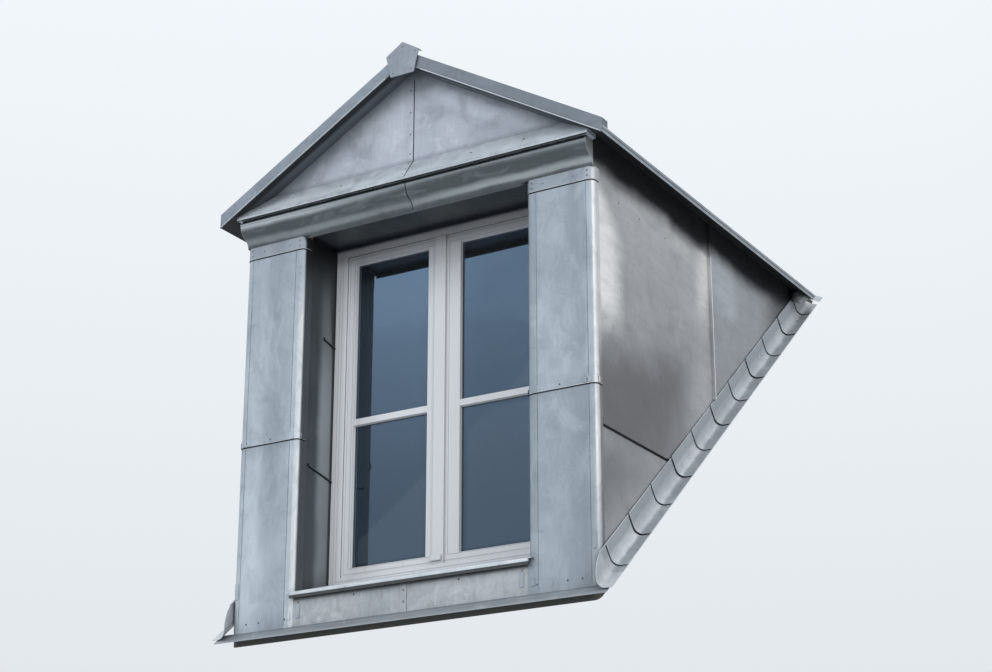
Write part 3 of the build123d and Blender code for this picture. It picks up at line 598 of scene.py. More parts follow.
def apron_marks(coords, cloud):
    """A paler front lip as a painted highlight, and darker where the apron meets the pilasters' feet."""
    _, y, _ = place(coords)
    # Painted highlight along the front lip
    yield (0.34, 0.37, 0.40), 0.60, ease(y, face - 0.030, face - 0.040)
    by_feet = band(y, face - 0.014, face - 0.006, face + 0.02, face + 0.03)
    yield (0.10, 0.11, 0.12), 0.45, by_feet


def sill_marks(coords, cloud):
    """Painted shade darkens the sill's nose below. Soakers are duller by the top and the foot, painted shade
    that leaves a painted highlight along each cove, and each has its own tone.
    """
    x, y, z = place(coords)
    # Painted shade under the sill's nose
    under = ease(z, nose_crown - 0.0105, nose_crown - 0.0125) * ease(y, face + 0.004, face - 0.002)
    yield (0.030, 0.032, 0.033), 0.95, under
    along = y * cos(slope) + z * sin(slope)
    square = z * cos(slope) - y * sin(slope) + blotch(cloud, 0.005)
    on_cheek = ease(abs(x), outer - 0.004, outer - 0.002)
    # Painted shade on each soaker's upper part and flat foot, which leaves a painted highlight along the
    # cove
    yield (0.285, 0.315, 0.345), 0.72, ease(square, 0.076, 0.094), on_cheek
    yield (0.225, 0.250, 0.275), 0.66, ease(square, 0.050, 0.043), on_cheek
    course = floor((along - (first_lap - soaker_course)) / soaker_course)
    yield (0.26, 0.285, 0.31), 0.34, step_noise(course), on_cheek
    nose = ease(along, 0.030, 0.012) * ease(abs(x), outer - 0.004, outer + 0.002)
    yield (0.50, 0.53, 0.56), 0.85, nose


def recess_marks(coords, cloud):
    """A pale streak down each reveal as a painted reflection, and painted shade towards the head, in the
    joint beside the frame and at the back of the ceiling.
    """
    x, y, z = place(coords)
    # Painted reflection: a pale streak down each reveal
    shifted = y + blotch(cloud, 0.012)
    low = ease(z, 1.25, 0.80)
    streak = ease(shifted, 0.036, 0.086) * ease(shifted - low * 0.030, 0.126, 0.106)
    on_reveal = ease(z, soffit - 0.02, soffit - 0.34)
    yield (0.24, 0.27, 0.28), 0.80, streak, on_reveal
    yield (0.46, 0.50, 0.52), 0.45, streak, low
    # Painted shade towards the head of each reveal
    upright = ease(abs(x), 0.455, 0.470)
    yield deep_shade, 0.85, ease(z, soffit - 0.20, soffit - 0.05), upright
    yield (0.030, 0.034, 0.037), 0.30, ease(z, 0.95, 1.20), upright
    yield (0.12, 0.135, 0.143), 0.35, low, ease(z, 0.9, 0.3)
    # Painted shade in the joint beside the frame
    joint = ease(y, 0.130, 0.138)
    yield deep_shade, 0.90, joint
    # Painted shade at the back of the ceiling
    ceiling = ease(y, 0.085, 0.125) * ease(z, soffit - 0.012, soffit - 0.004)
    yield (0.004, 0.004, 0.005), 0.97, ceiling


front_zinc = zinc("front", (0.342, 0.390, 0.437), (0.436, 0.491, 0.543), (0.21, 0.239, 0.272), 0.5, 0.40,
                  streak=0.38, bloom=0.24, marks=pilaster_marks)
panel_zinc = zinc("panel", (0.345, 0.375, 0.395), (0.47, 0.50, 0.515), (0.19, 0.20, 0.205), 0.4, 0.46,
                  run=(15, 15, 11), streak=0.42, bloom=0.42, cloud_scale=8.0, marks=panel_marks)
# Pale zinc for hems, lips, beads and the sill roll: painted highlights along edges
highlight_zinc = zinc("bright", (0.60, 0.64, 0.67), (0.74, 0.78, 0.80), (0.36, 0.39, 0.41), 0.6, 0.32,
                   dirt_and_shade=0.3)
cheek_zinc = zinc("cheek", (0.40, 0.408, 0.42), (0.50, 0.51, 0.52), (0.25, 0.25, 0.252), 0.5, 0.38,
                  run=(7, 7, 1.2), streak=0.30, bloom=0.14, dirt_and_shade=0.30, wave=0.45, cloud_scale=1.9,
                  marks=cheek_marks)
gable_zinc = zinc("gable", (0.360, 0.388, 0.438), (0.460, 0.492, 0.545), (0.22, 0.24, 0.275), 0.35, 0.46,
                  run=(5, 5, 2.2), streak=0.25, bloom=0.34, dirt_and_shade=0.5, cloud_scale=4.0, marks=pediment_marks)
ledge_zinc = zinc("ledge", (0.36, 0.40, 0.44), (0.46, 0.50, 0.54), (0.22, 0.245, 0.27), 0.35, 0.42,
                  run=(4, 14, 14), streak=0.45, bloom=0.34, dirt_and_shade=0.10, marks=ledge_marks)
# The cornice zinc is dark, and its marks paint the moulding's reflections
cornice_reflection_zinc = zinc("cornice", (0.135, 0.153, 0.162), (0.175, 0.197, 0.206), (0.075, 0.084, 0.09), 0.6, 0.34,
                    run=(3, 26, 26), streak=0.30, bloom=0.10, dirt_and_shade=0.35, marks=cornice_marks)
# The recess zinc's dark tone paints the shade in the window's recess
shaded_recess_zinc = zinc("recess", (0.058, 0.066, 0.071), (0.085, 0.096, 0.102), (0.030, 0.033, 0.036), 0.5, 0.38,
                   bloom=0.04, dirt_and_shade=0.6, marks=recess_marks)
verge_zinc = zinc("verge", (0.195, 0.225, 0.260), (0.265, 0.30, 0.345), (0.11, 0.127, 0.145), 0.45, 0.42,
                  run=(5, 22, 22), streak=0.45, bloom=0.16, marks=verge_marks)
apex_zinc = zinc("apex", (0.215, 0.245, 0.28), (0.29, 0.32, 0.36), (0.12, 0.135, 0.155), 0.45, 0.42,
                 bloom=0.24, marks=apex_marks)
roof_zinc = zinc("roof", (0.33, 0.37, 0.40), (0.44, 0.48, 0.51), (0.20, 0.22, 0.24), 0.55, 0.42,
                 run=(1.6, 14, 1.6), streak=0.4, marks=roof_marks)
flashing_zinc = zinc("flashing", (0.52, 0.555, 0.585), (0.66, 0.695, 0.72), (0.32, 0.345, 0.365), 0.3, 0.32,
                     run=(16, 16, 16), streak=0.25, bloom=0.3, dirt_and_shade=0.30, cloud_scale=7.0, marks=sill_marks)
apron_zinc = zinc("apron", (0.195, 0.218, 0.242), (0.26, 0.288, 0.315), (0.115, 0.127, 0.14), 0.4, 0.40,
                  run=(3, 20, 20), streak=0.45, bloom=0.3, dirt_and_shade=0.4, marks=apron_marks)
nail_zinc = zinc("nails", (0.10, 0.105, 0.11), (0.17, 0.175, 0.18), (0.05, 0.05, 0.048), 0.5, 0.45,
                 dirt_and_shade=0.0)
# Near-black zinc for the lines and gaps under edges: painted shadow
shadow_gap_zinc = zinc("shadow_gaps", deep_shade, (0.022, 0.023, 0.025), (0.007, 0.007, 0.007), 0.0, 0.7,
                bloom=0.0, dirt_and_shade=0.0, specular=0.08)
strap_zinc = zinc("straps", (0.165, 0.185, 0.195), (0.22, 0.245, 0.255), (0.09, 0.10, 0.107), 0.5, 0.38,
                  dirt_and_shade=0.2)
# Pale zinc for the verge hems: a painted highlight
hem_highlight_zinc = zinc("hems", (0.44, 0.47, 0.50), (0.54, 0.57, 0.60), (0.26, 0.28, 0.30), 0.4, 0.34, dirt_and_shade=0.0)


# Wood, paint and glass

def wood(name, axis, pale=(0.44, 0.32, 0.20), deep=(0.27, 0.17, 0.095), plank=None):
    """Sawn softwood with its grain along one axis, darker where it lies on the main roof."""
    material = bpy.data.materials.new(name)
    coords = begin(material)
    rings = grain(coords, 1.0, 3.0, stretch=[1.1 if k == axis else 26.0 for k in range(3)], distortion=0.9)
    fibre = grain(coords, 1.0, 3.0, stretch=[6.0 if k == axis else 190.0 for k in range(3)])
    saw = grain(coords, 4.0, 3.0)
    colour = mix(remap((rings * 13.0).fraction(), 0.2, 1.0, 0.05, 0.75), pale, deep)
    colour = mix(remap(fibre, 0.35, 0.7, 0.0, 0.4), colour, deep)
    colour = mix(remap(saw, 0.4, 0.7, 0.0, 0.35), colour, (0.30, 0.26, 0.21))
    if plank:
        across, low = plank
        plank_index = floor((coords.dot(across) - low) / plank_pitch)
        colour = tint(colour, (0.20, 0.15, 0.10), 0.45, step_noise(plank_index))
    _, y, z = place(coords)
    colour = tint(colour, (0.055, 0.054, 0.050), 0.92, ease(z - y * rise, 0.110, 0.065))
    return coat(material, {"Base Color": colour, "Roughness": 0.72, "Normal": bump(fibre, 0.3, 0.0015)})


def paint(name, base, rough=0.36, dirt_and_shade=0.0):
    """Window paint, a little dirty and in painted shade in its corners, with painted light on its left side
    and painted shade under the ceiling of the recess.
    """
    material = bpy.data.materials.new(name)
    coords = begin(material)
    cloud = grain(coords, 6.0)
    drip = grain(coords, 1.0, stretch=(60, 60, 2.0))
    colour = mix(remap(cloud, 0.4, 0.7, 0.0, 0.35), base, shade(0.86, base))
    colour = mix(remap(drip, 0.55, 0.8, 0.0, 0.3), colour, (0.42, 0.41, 0.38))
    # Grime and painted shade in the corners, as the AO node finds
    soot_and_shade = remap(crowding(coords.tree, 0.02), 0.9, 0.3) * dirt_and_shade
    colour = mix(soot_and_shade, colour, (0.16, 0.155, 0.145))
    x, _, z = place(coords)
    # Painted light on the left side of the window
    colour = tint(colour, shade(1.32, base), 0.60, ease(x, -0.37, -0.435))
    colour = tint(colour, shade(0.88, base), 0.60, ease(abs(x), 0.10, 0.07))
    colour = tint(colour, (0.10, 0.10, 0.10), 0.55, ease(z, soffit - 0.085, soffit - 0.030))
    colour = tint(colour, (0.015, 0.015, 0.015), 0.85, ease(z, soffit - 0.014, soffit - 0.002))
    return coat(material, {
        "Base Color": colour,
        "Roughness": remap(cloud, 0.3, 0.7, rough - 0.05, rough + 0.1),
        "Normal": bump(grain(coords, 260.0, 2.0), 0.08, 0.0004),
    })


def window_glass(name):
    material = bpy.data.materials.new(name)
    coords = begin(material)
    return coat(material, {
        "Base Color": (0.045, 0.055, 0.065, 1.0),
        "Roughness": remap(grain(coords, 9.0), 0.4, 0.8, 0.01, 0.05),
        "IOR": 2.75,
        "Transmission Weight": 0.7,
        "Specular Tint": (0.50, 0.72, 1.0, 1.0),
        "Normal": bump(grain(coords, 3.0, 1.0), 0.05, 0.01),
    })


# Very dark timber for the sole plates and valley boards: painted shade, so that they read as the shaded gap
# over the slates
shade_dark_treated = ((0.100, 0.095, 0.082), (0.055, 0.052, 0.046))
wood_x, wood_y, wood_z = [wood("softwood_" + word, axis) for axis, word in enumerate("xyz")]
shade_dark_treated_x, shade_dark_treated_y = [wood("treated_" + word, axis, *shade_dark_treated) for axis, word in enumerate("xy")]
window_paint = paint("window_paint", (0.560, 0.570, 0.590), dirt_and_shade=0.22)
gasket_paint = paint("gasket", (0.045, 0.046, 0.048), 0.5)
# Grey paint for the profile lines: painted shade in the grooves
groove_shade_paint = paint("groove", (0.30, 0.305, 0.315), 0.5)
spacer_paint = paint("spacer", (0.52, 0.54, 0.55), 0.4)
pane_glass = window_glass("window_glass")


# Finish of the CAD nodes

def pair(name):
    return [name + "_left", name + "_right"]


timber = {
    shade_dark_treated_x: ["sole_plate_front", "valley_boards"],
    shade_dark_treated_y: ["side_sole_plates"],
    wood_x: ["sill_beam", "head_board", "lintel", "rafters", "gable_boarding"],
    wood_y: ["wall_plates", "ridge_board", *pair("roof_boarding")],
    wood_z: [*pair("post"), "jamb_boards", "cheek_studs", *pair("cheek_boarding")],
}
joinery = {window_paint: ["window_frame", *pair("sash")]}
sheets = {
    front_zinc: [*pair("pilaster_sheets"), "pilaster_heads"],
    panel_zinc: ["apron_panel"],
    cheek_zinc: pair("cheek_sheets"),
    gable_zinc: ["pediment_sheets"],
    ledge_zinc: ["pediment_ledge"],
    cornice_reflection_zinc: ["cornice"],
    shaded_recess_zinc: ["reveals", "recess_soffit"],
    roof_zinc: [*pair("roof_sheets"), "ridge_cap"],
    verge_zinc: pair("verge"),
    apex_zinc: ["apex_cap"],
    flashing_zinc: [*pair("soakers"), *pair("valley_flashing"), "sill_ledge"],
    apron_zinc: ["front_apron"],
    pane_glass: ["panes"],
}
for finishes, edge in ((timber, 0.0018), (joinery, 0.0022), (sheets, 0.0)):
    for material, names in finishes.items():
        for node in [nodes[name] for name in names]:
            node.data.materials.clear()
            node.data.materials.append(material)
            node.data.shade_smooth()
            node.data.set_sharp_from_angle(angle=radians(30))
            if edge:
                add_bevel(node, edge)


# Soakers: a hem on each lower end with a dark gap under it, and beads along the top and the slates. The pale
# hems and beads are painted highlights, the dark gaps painted shadow

def cove_line(side, along, lift, stand_off=0.0):
    """Points down a soaker's shown face, from its top to its tip on the slates."""
    stand = sheet + lift + stand_off
    near = outer + 0.0003 + stand
    low = soaker_foot + stand
    radius = soaker_radius - stand_off
    points = [(near, soaker_foot + soaker_reach + lift)]
    points += arc((near + radius, low + radius), radius, pi, 1.5 * pi, 10)
    points.append((outer + 0.0003 + sheet + lift + soaker_width, low))
    up, out = Vector((0, cos(slope), sin(slope))), Vector((0, -sin(slope), cos(slope)))
    return [Vector((side * x, 0, 0)) + up * along + out * square for x, square in points]


for side, word in both_sides:
    hems, shadow_gaps = bmesh.new(), bmesh.new()
    tail, course = first_lap, 0
    while tail < soakers_end - soaker_course / 2:
        tube(hems, cove_line(side, tail + 0.0016, soaker_lift), 0.0008)
        gap = 0.0042 if course % 2 else 0.0022
        under = cove_line(side, tail - gap + 0.0004, soaker_lift, 0.0004 - gap)
        under[-1] = under[-1].lerp(under[-2], 0.30)
        tube(shadow_gaps, under, gap)
        top = [cove_line(side, tail, soaker_lift)[0],
               cove_line(side, min(tail + soaker_length, soakers_end - 0.075), 0.0)[0]]
        tube(hems, top, 0.0019)
        tip = [cove_line(side, tail + 0.003, soaker_lift)[-1],
               cove_line(side, min(tail + soaker_course - 0.006, soakers_end - 0.100), 0.0)[-1]]
        tube(hems, tip, 0.0012)
        tail, course = tail + soaker_course, course + 1
    tube(hems, [cove_line(side, along, soaker_lift)[0] for along in (first_lap - 0.060, first_lap)], 0.0019)
    finish_piece("soaker_hems_" + word, hems, highlight_zinc)
    finish_piece("soaker_shadow_gaps_" + word, shadow_gaps, shadow_gap_zinc)


# Boards: each boarding is cut into planks with narrow joints

def planks(name, axis, across):
    across = Vector(across).normalized()
    source = nodes[name].data
    reach = [vertex.co.dot(across) for vertex in source.vertices]
    low, high = min(reach), max(reach)
    whole = bmesh.new()
    edge = low
    while edge < high - 0.004:
        part = bmesh.new()
        part.from_mesh(source)
        for at, facing in ((edge + 0.001, -1.0), (edge + plank_pitch - 0.001, 1.0)):
            if low + 0.002 < at < high - 0.002:
                whole_part = part.verts[:] + part.edges[:] + part.faces[:]
                cut = bmesh.ops.bisect_plane(part, geom=whole_part, dist=1e-6, plane_co=across * at,
                                             plane_no=across * facing, clear_outer=True)
                rim = [item for item in cut["geom_cut"] if isinstance(item, bmesh.types.BMEdge)]
                bmesh.ops.edgeloop_fill(part, edges=rim)
        plank = bpy.data.meshes.new("plank")
        part.to_mesh(plank)
        part.free()
        whole.from_mesh(plank)
        bpy.data.meshes.remove(plank)
        edge += plank_pitch
    material = wood(name + "_wood", axis, plank=(across, low))
    finish_piece(name + "_planks", whole, material, smooth=False, stands_for=(name,))


for side, word in both_sides:
    planks("roof_boarding_" + word, 1, (side * cos(roof_angle), 0.0, -sin(roof_angle)))
for side, word in both_sides:
    planks("cheek_boarding_" + word, 2, (0, 1, 0))
planks("gable_boarding", 0, (0, 0, 1))

# Nails: x, z, how far they stand before the face, their radius and their height
nails = bmesh.new()
lapped = 0.0015
band_nail, foot_nail = (0.0036, 0.0018), (0.0038, 0.0018)
pin, small_pin = (0.0034, 0.0016), (0.0032, 0.0016)
spots = [(x, z, lapped, *band_nail) for x in (reveal + 0.024, outer - 0.024)
         for z in (head - 0.014, head - 0.034)]
spots += [(x, lap + 0.014, lapped, *band_nail) for x in (reveal + 0.030, reveal + 0.128, outer - 0.034)]
spots += [(x, foot + 0.030, 0.0, *foot_nail) for x in (reveal + 0.035, reveal + 0.150, reveal + 0.205)]
spots += [(reveal - 0.022, z, 0.0, *pin) for z in (foot + 0.052, foot + 0.085)]
spots = [(side * x, *rest) for side in sides for x, *rest in spots]
for x, z in ((-0.012, foot + 0.035), (-0.012, foot + 0.075), (0.21, foot + 0.085), (-0.22, foot + 0.085)):
    spots.append((x, z, lapped, *pin))
spots += [(-0.013, z, lapped, *small_pin) for z in (fold + 0.03, fold + 0.11, fold + 0.20, fold + 0.29)]
for x, z, before, radius, height in spots:
    dome(nails, (x, face - before, z), to_front, radius, height)
ledge_up = Vector((0, ledge_top - fold, face - ledge_front)).normalized()
for x in (-0.52, -0.30, 0.27, 0.49):
    dome(nails, (x, (ledge_front + face) / 2, (ledge_top + fold) / 2), ledge_up, 0.0042, 0.0018)
finish_piece("nail_heads_front", nails, nail_zinc)

# Creases along the pilasters' edges, in darker zinc that paints each crease's shade line
creases = bmesh.new()
for side in sides:
    for x in (reveal + 0.040, outer - 0.030):
        for z0, z1 in ((foot + 0.010, lap - 0.004), (lap + 0.028, head - 0.052)):
            tube(creases, [(side * x, face + 0.0003, z) for z in (z0, z1)], 0.0011)
finish_piece("pilaster_creases", creases, strap_zinc)


# Laps: a dark line under each sheet's edge, a painted shadow, and a pale lip on the edge, a painted
# highlight

def pilaster_line(side, stand_off, z):
    """Points round a pilaster's front, from its return in the recess to the one on the cheek."""
    radius = pilaster_corner + stand_off
    back = face + 0.038
    points = [(reveal - stand_off, back)]
    points += arc((reveal + pilaster_corner, face + pilaster_corner), radius, pi, 1.5 * pi, 6)
    points += arc((outer - pilaster_corner, face + pilaster_corner), radius, 1.5 * pi, 2 * pi, 6)
    points.append((outer + stand_off, back))
    return [(side * x, y, z) for x, y in points]


def across_front(bm, half, y, z, radius, segments=8):
    tube(bm, [(-half, y, z), (half, y, z)], radius, segments)


shade_lines, lips = bmesh.new(), bmesh.new()
for side in sides:
    for z in (lap, head - 0.048):
        tube(shade_lines, pilaster_line(side, 0.0004, z - 0.0022), 0.0019)
        tube(lips, pilaster_line(side, 0.0010, z + 0.0012), 0.0010)
lap_end = (cheek_lap - above_seat(0, soaker_top)) / rise
seam_foot = above_seat(cheek_seam, soaker_top) + 0.004
seam_head = roof_z(outer) - 0.004
for side in sides:
    under_lap = [(side * (outer + 0.0008), y, cheek_lap - 0.0028) for y in (face + 0.042, lap_end - 0.012)]
    tube(shade_lines, under_lap + [(side * (outer + 0.0030), lap_end - 0.004, cheek_lap + 0.0010)], 0.0044)
    beside, crown = side * (outer + 0.0012), side * (outer + 0.0118)
    tube(shade_lines, [(beside, cheek_seam + 0.0085, z) for z in (seam_foot, seam_head)], 0.0020)
    tube(lips, [(crown, cheek_seam + 0.0028, z) for z in (seam_foot, 1.470)], 0.0018, 10)
joint_x, before_face = 0.0014, face - 0.0002
tube(shade_lines, [(joint_x, before_face, z) for z in (fold + 0.002, roof_z(0.03) - 0.02)], 0.0015)
on_ledge = [(joint_x, ledge_front - 0.0002, ledge_top - 0.001), (joint_x, before_face, fold + 0.001)]
tube(shade_lines, on_ledge, 0.0015)
across_front(shade_lines, outer + 0.010, ledge_front + 0.0030, cornice_top - 0.0010, 0.0022)
across_front(lips, outer + 0.0115, ledge_front + 0.0010, cornice_top + 0.0008, 0.0012)
finish_piece("lap_lips", lips, highlight_zinc)
# Verge hems in pale zinc: a painted highlight along the verges' lower edges
hems = bmesh.new()
for side in sides:
    ends = [(side * x, overhang_front - 0.0030, roof_z(x, 0.0016)) for x in (0.078, eave_half - 0.003)]
    tube(hems, ends, 0.0021, 10)
finish_piece("verge_hems", hems, hem_highlight_zinc)

# Clips that hold the laps and the feet, each as its limits in x, y and z
clips = bmesh.new()
on_sheet = (face - 0.0018, face - 0.0002)
for side in sides:
    tongues = [(x - 0.007, x + 0.007, face - 0.0030, face - 0.0004, lap + 0.003, lap + 0.023)
               for x in (reveal + 0.030, outer - 0.044, outer - 0.026)]
    tongues += [
        (outer + 0.0012, outer + 0.0032, face + 0.012, face + 0.026, lap + 0.003, lap + 0.024),
        (reveal - 0.0012, reveal - 0.0032, face + 0.010, face + 0.024, lap + 0.001, lap + 0.020),
        (reveal + 0.012, reveal + 0.026, *on_sheet, foot + 0.026, foot + 0.052),
        (reveal - 0.030, reveal - 0.016, *on_sheet, foot + 0.028, foot + 0.078),
        (outer - 0.024, outer - 0.010, *on_sheet, foot + 0.125, foot + 0.185),
    ]
    for x0, x1, *others in tongues:
        box(clips, *sorted((side * x0, side * x1)), *others)
finish_piece("lap_clips", clips, front_zinc, bevel=0.0007)

# Straps over the joints of the cornice and the ledge, riveted
strap_width, strap_under, strap_top = 0.026, 0.0002, 0.0014
moulding_depth, moulding_height = 0.054, 0.088
turn = 2 * atan(moulding_depth / moulding_height)
hollow_radius = 0.034
crown_radius = moulding_height / sin(turn) - hollow_radius


def moulding_line(off):
    """The cornice's outline from its foot up, moved out by off, as (y, z) points."""
    middle = (face - hollow_radius, head)
    crown = (middle[0] + (hollow_radius + crown_radius) * cos(turn),
             middle[1] + (hollow_radius + crown_radius) * sin(turn))
    lower = arc(middle, hollow_radius - off, 0, turn, 8)
    return lower + arc(crown, crown_radius + off, pi + turn, pi, 8)[1:]


def strap(name, outline, material):
    straps = bmesh.new()
    prism(straps, [(-strap_width, y, z) for y, z in outline], (strap_width, 0, 0))
    finish_piece(name, straps, material, smooth=False)


outside = moulding_line(strap_top)
strap("cornice_strap", moulding_line(strap_under) + outside[::-1], cornice_reflection_zinc)
low, high = Vector((0, ledge_front, ledge_top)), Vector((0, face - 0.002, fold - 0.003))
corners = [low + ledge_up * strap_under, high + ledge_up * strap_under,
           high + ledge_up * strap_top, low + ledge_up * strap_top]
strap("ledge_strap", [corner.yz for corner in corners], ledge_zinc)
tube(shade_lines, [(0.0012, y, z) for y, z in moulding_line(-0.0002)], 0.0015)
finish_piece("shade_lines", shade_lines, shadow_gap_zinc)
rivets = bmesh.new()
for k in (3, 7, 11, 14):
    (y0, z0), (y, z) = outside[k - 1:k + 1]
    dome(rivets, (-0.008, y, z), (0, z0 - z, y - y0), 0.0034, 0.0016)
for share in (0.2, 0.55, 0.85):
    middle = low.lerp(high, share) + ledge_up * strap_top
    dome(rivets, (-0.012, middle.y, middle.z), ledge_up, 0.0032, 0.0015)
for side in sides:
    for x in (reveal + 0.070, outer - 0.080):
        dome(rivets, (side * x, face - lapped, head - 0.024), to_front, 0.0030, 0.0014)
    for y in (face + 0.188, face + 0.348, face + 0.556):
        dome(rivets, (side * (outer + 0.0005), y, roof_z(outer) - 0.20), (side, 0, 0), 0.0030, 0.0014)
finish_piece("joint_rivets", rivets, nail_zinc)

# Rounded end pieces under the eaves, over the soakers' upper ends
cup_x, cup_y, cup_top = 0.786, 1.700, roof_z(0.786) - 0.001
for side, word in both_sides:
    cup = bmesh.new()
    rings = []
    for level in range(9):
        t = level / 8
        bulge = (1 - t ** 3) ** 0.5
        half, depth = 0.033 * bulge, 0.042 * (1 - 0.75 * t)
        ring = []
        for angle in [2 * pi * k / 16 for k in range(16)]:
            x = side * cup_x + half * cos(angle)
            top = min(cup_top, roof_z(x) - 0.001)
            y = cup_y - 0.055 * t + depth * sin(angle) * bulge
            ring.append(cup.verts.new((x, y, top - 0.058 * t)))
        rings.append(ring)
    for high_ring, low_ring in zip(rings, rings[1:]):
        bridge(cup, high_ring, low_ring)
    cup.faces.new(rings[0])
    finish_piece("eave_cup_" + word, cup, strap_zinc)

# Laps in the recess: a dark gap with a pale lip over it, painted shadow under a painted highlight
folds, fold_lips = bmesh.new(), bmesh.new()
for side in sides:
    for y0, z0, y1, z1 in ((0.001, 0.605, 0.148, 0.580), (0.080, 1.118, 0.148, 1.104)):
        for bm, up_by, radius, stand in ((folds, 0.0, 0.0036, 0.0008), (fold_lips, 0.0042, 0.0015, 0.0012)):
            x, near, far = side * (reveal - stand), foot + z0 + up_by, foot + z1 + up_by
            hook = [(x, y0 - 0.004, near + 0.010), (x, y0 - 0.002, near + 0.002), (x, y0 + 0.006, near)]
            tube(bm, hook + [(x, y1, far)], radius)
finish_piece("recess_laps", folds, shadow_gap_zinc)
finish_piece("recess_lips", fold_lips, strap_zinc)

# Sill: rolled edge in pale zinc, a painted highlight along its top, and closed ends
roll = bmesh.new()
across_front(roll, reveal + 0.0075, nose_front + 0.0052, nose_crown - 0.0055, 0.0055, 16)
finish_piece("sill_roll", roll, highlight_zinc)
curl = bmesh.new()
turns, curl_steps = 1.35, 18
for side in sides:
    spiral = []
    for k in range(curl_steps + 1):
        angle = 0.5 * pi - 2 * pi * turns * k / curl_steps
        radius = 0.0085 - 0.0035 * k / curl_steps
        spiral.append((side * (reveal + 0.0065), nose_front + 0.0092 + radius * cos(angle),
                       nose_crown - 0.0105 + radius * sin(angle)))
    tube(curl, spiral, 0.0011)
finish_piece("sill_curls", curl, nail_zinc)

# Window: glazing beads, gaskets, spacers, joints, profile lines and the drip piece. The dark joints round
# the sashes are painted shadow in the gaps, and the grey profile lines painted shade in the grooves
frame_open_half = reveal - 0.044
frame_open_foot = sill_back + 0.022
frame_open_head = soffit - 0.030
sash_front = frame_front + 0.012
sash_split = -0.009
light_foot = frame_open_foot + 0.034
light_head = frame_open_head - 0.037
light_outer = frame_open_half - 0.040
light_inner = 0.070
bar_low = foot + 0.790
bar_high = bar_low + 0.024
pane_front = frame_front + 0.027


def rectangle(inward, width, front, back):
    return [(inward, front), (inward + width, front), (inward + width, back), (inward, back)]


bead = [(0.0, sash_front + 0.0022), (0.0008, sash_front + 0.0014), (0.0030, pane_front - 0.0045),
        (0.0030, pane_front - 0.0002), (0.0, pane_front - 0.0002)]
rubber = [(0.0030, pane_front - 0.0035), (0.0052, pane_front - 0.0022), (0.0052, pane_front - 0.0002),
          (0.0030, pane_front - 0.0002)]
spacer = rectangle(0.004, 0.012, pane_front + 0.0062, pane_front + 0.018)
for name, section, material in (("beads", bead, window_paint), ("gaskets", rubber, gasket_paint),
                                ("spacers", spacer, spacer_paint)):
    bm = bmesh.new()
    for side in sides:
        x0, x1 = sorted((side * light_inner, side * light_outer))
        for z0, z1 in ((light_foot, bar_low), (bar_high, light_head)):
            picture_frame(bm, x0, x1, z0, z1, section)
    finish_piece("glazing_" + name, bm, material, smooth=False)

sash_shadow_gaps, grooves = bmesh.new(), bmesh.new()
for inward in (-0.0150, -0.0270):
    line = rectangle(inward, 0.0013, frame_front - 0.0005, frame_front + 0.0008)
    picture_frame(grooves, -frame_open_half, frame_open_half, frame_open_foot, frame_open_head, line)
for x0, x1 in ((-frame_open_half, sash_split), (sash_split, frame_open_half)):
    gap = rectangle(0.0, 0.0022, sash_front - 0.0007, sash_front + 0.0015)
    picture_frame(sash_shadow_gaps, x0, x1, frame_open_foot, frame_open_head, gap)
    for inward in (0.0110, 0.0310):
        line = rectangle(inward, 0.0012, sash_front - 0.0005, sash_front + 0.0008)
        picture_frame(grooves, x0, x1, frame_open_foot, frame_open_head, line)
finish_piece("sash_joint_shadows", sash_shadow_gaps, gasket_paint, smooth=False)
finish_piece("profile_lines", grooves, groove_shade_paint, smooth=False)

drip = bmesh.new()
drip_foot = frame_open_foot + 0.012
box(drip, -0.040, 0.003, sash_front - 0.016, sash_front - 0.008, drip_foot, drip_foot + 0.020)
finish_piece("meeting_stile_drip", drip, window_paint, bevel=0.0015)

# Stage: a pale floor, two big soft lamps and a graded world
floor_depth, floor_size = 3.4, 150.0
floor_mesh = bpy.data.meshes.new("floor")
grid = bmesh.new()
bmesh.ops.create_grid(grid, x_segments=2, y_segments=2, size=floor_size)
grid.to_mesh(floor_mesh)
grid.free()
floor_material = bpy.data.materials.new("floor")
begin(floor_material)
floor_mesh.materials.append(coat(floor_material, {"Color": (0.72, 0.73, 0.74, 1.0)}, "BsdfDiffuse"))
ground = add_object("floor", floor_mesh)
ground.location.z = -floor_depth


def towards(direction, vector, start, end):
    """1 where the direction points the same way as a vector, 0 well away from it."""
    return ease(direction.dot(Vector(vector).normalized()), start, end)


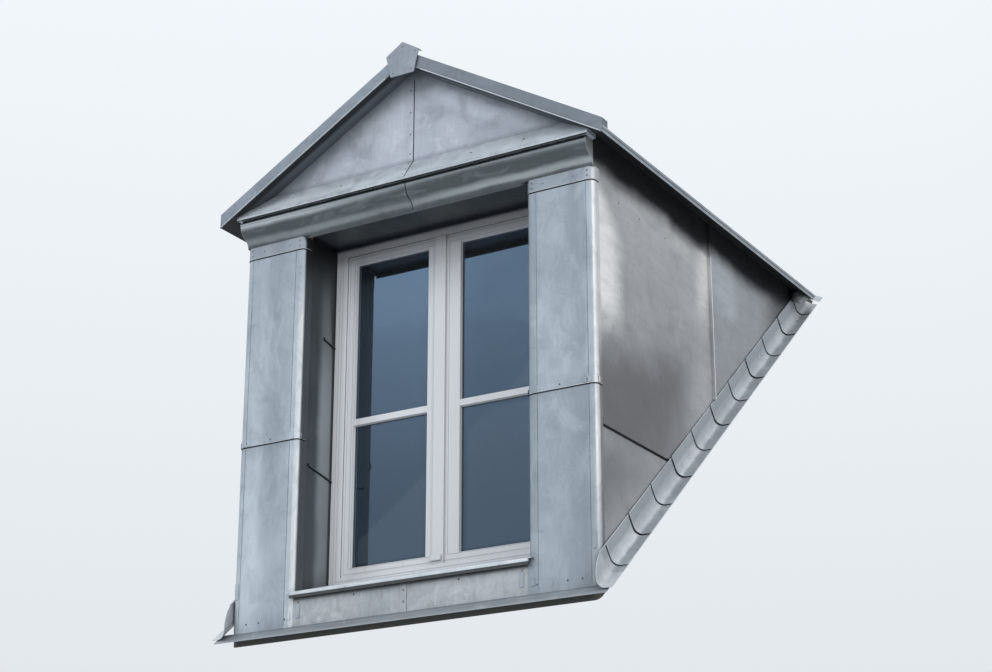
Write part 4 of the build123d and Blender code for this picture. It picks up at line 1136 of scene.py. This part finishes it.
world = bpy.data.worlds.new("studio")
direction = begin(world, "Generated")
x, y, height = place(direction)
colour = mix(remap(height, -0.1, 0.75), (0.66, 0.69, 0.72), (0.98, 1.03, 1.08))
colour = mix(towards(direction, (0.72, 0.66, 0.20), 0.45, 0.97), colour, (0.36, 0.38, 0.41))
colour = mix(towards(direction, (0.86, -0.44, 0.25), 0.80, 0.98), colour, (1.5, 1.5, 1.5))
mirrored = mix(ease(height, 0.25, 0.43), (0.46, 0.50, 0.54), (1.10, 1.24, 1.36))
mirrored = tint(mirrored, (0.36, 0.40, 0.45), 0.42, ease(x / y, 0.655, 0.600))
haze = remap(grain(direction, 9.0, distortion=0.6), 0.42, 0.66)
mirrored = tint(mirrored, (1.15, 1.20, 1.24), 0.22, haze, ease(height, 0.28, 0.36))
colour = mix(towards(direction, (-0.481, -0.806, 0.345), 0.90, 0.975), colour, mirrored)
coat(world, {"Color": colour, "Strength": 1.0}, "Background", "OutputWorld")
bpy.context.scene.world = world


def lamp(name, towards_lamp, size, power, distance=8.0, aim=(0, 0.3, 1.0)):
    data = bpy.data.lights.new(name, "AREA")
    data.shape = "RECTANGLE"
    data.size, data.size_y = size
    data.energy = power
    lamp_object = add_object(name, data)
    way = Vector(towards_lamp).normalized()
    lamp_object.location = Vector(aim) + way * distance
    lamp_object.visible_glossy = False
    lamp_object.rotation_mode = "QUATERNION"
    lamp_object.rotation_quaternion = way.to_track_quat("Z", "Y")


lamp("key", (-0.45, -0.75, 0.62), (5.0, 4.0), 300)
lamp("side", (0.85, -0.45, 0.38), (1.6, 5.0), 220)

# Camera, where the photograph was taken from
azimuth, elevation = radians(30.86), radians(20.22)
standpoint = (3.851, -5.910, -1.578)
forward = Vector((-sin(azimuth) * cos(elevation), cos(azimuth) * cos(elevation), sin(elevation)))
right = Vector((cos(azimuth), sin(azimuth), 0.0))
camera_data = bpy.data.cameras.new("camera")
camera_data.sensor_width = 36.0
camera_data.lens = 75.6
camera = add_object("camera", camera_data)
turned = Matrix((right, right.cross(forward), -forward)).transposed()
camera.matrix_world = Matrix.Translation(standpoint) @ turned.to_4x4()
bpy.context.scene.camera = camera
bpy.context.scene.view_settings.view_transform = "Standard"
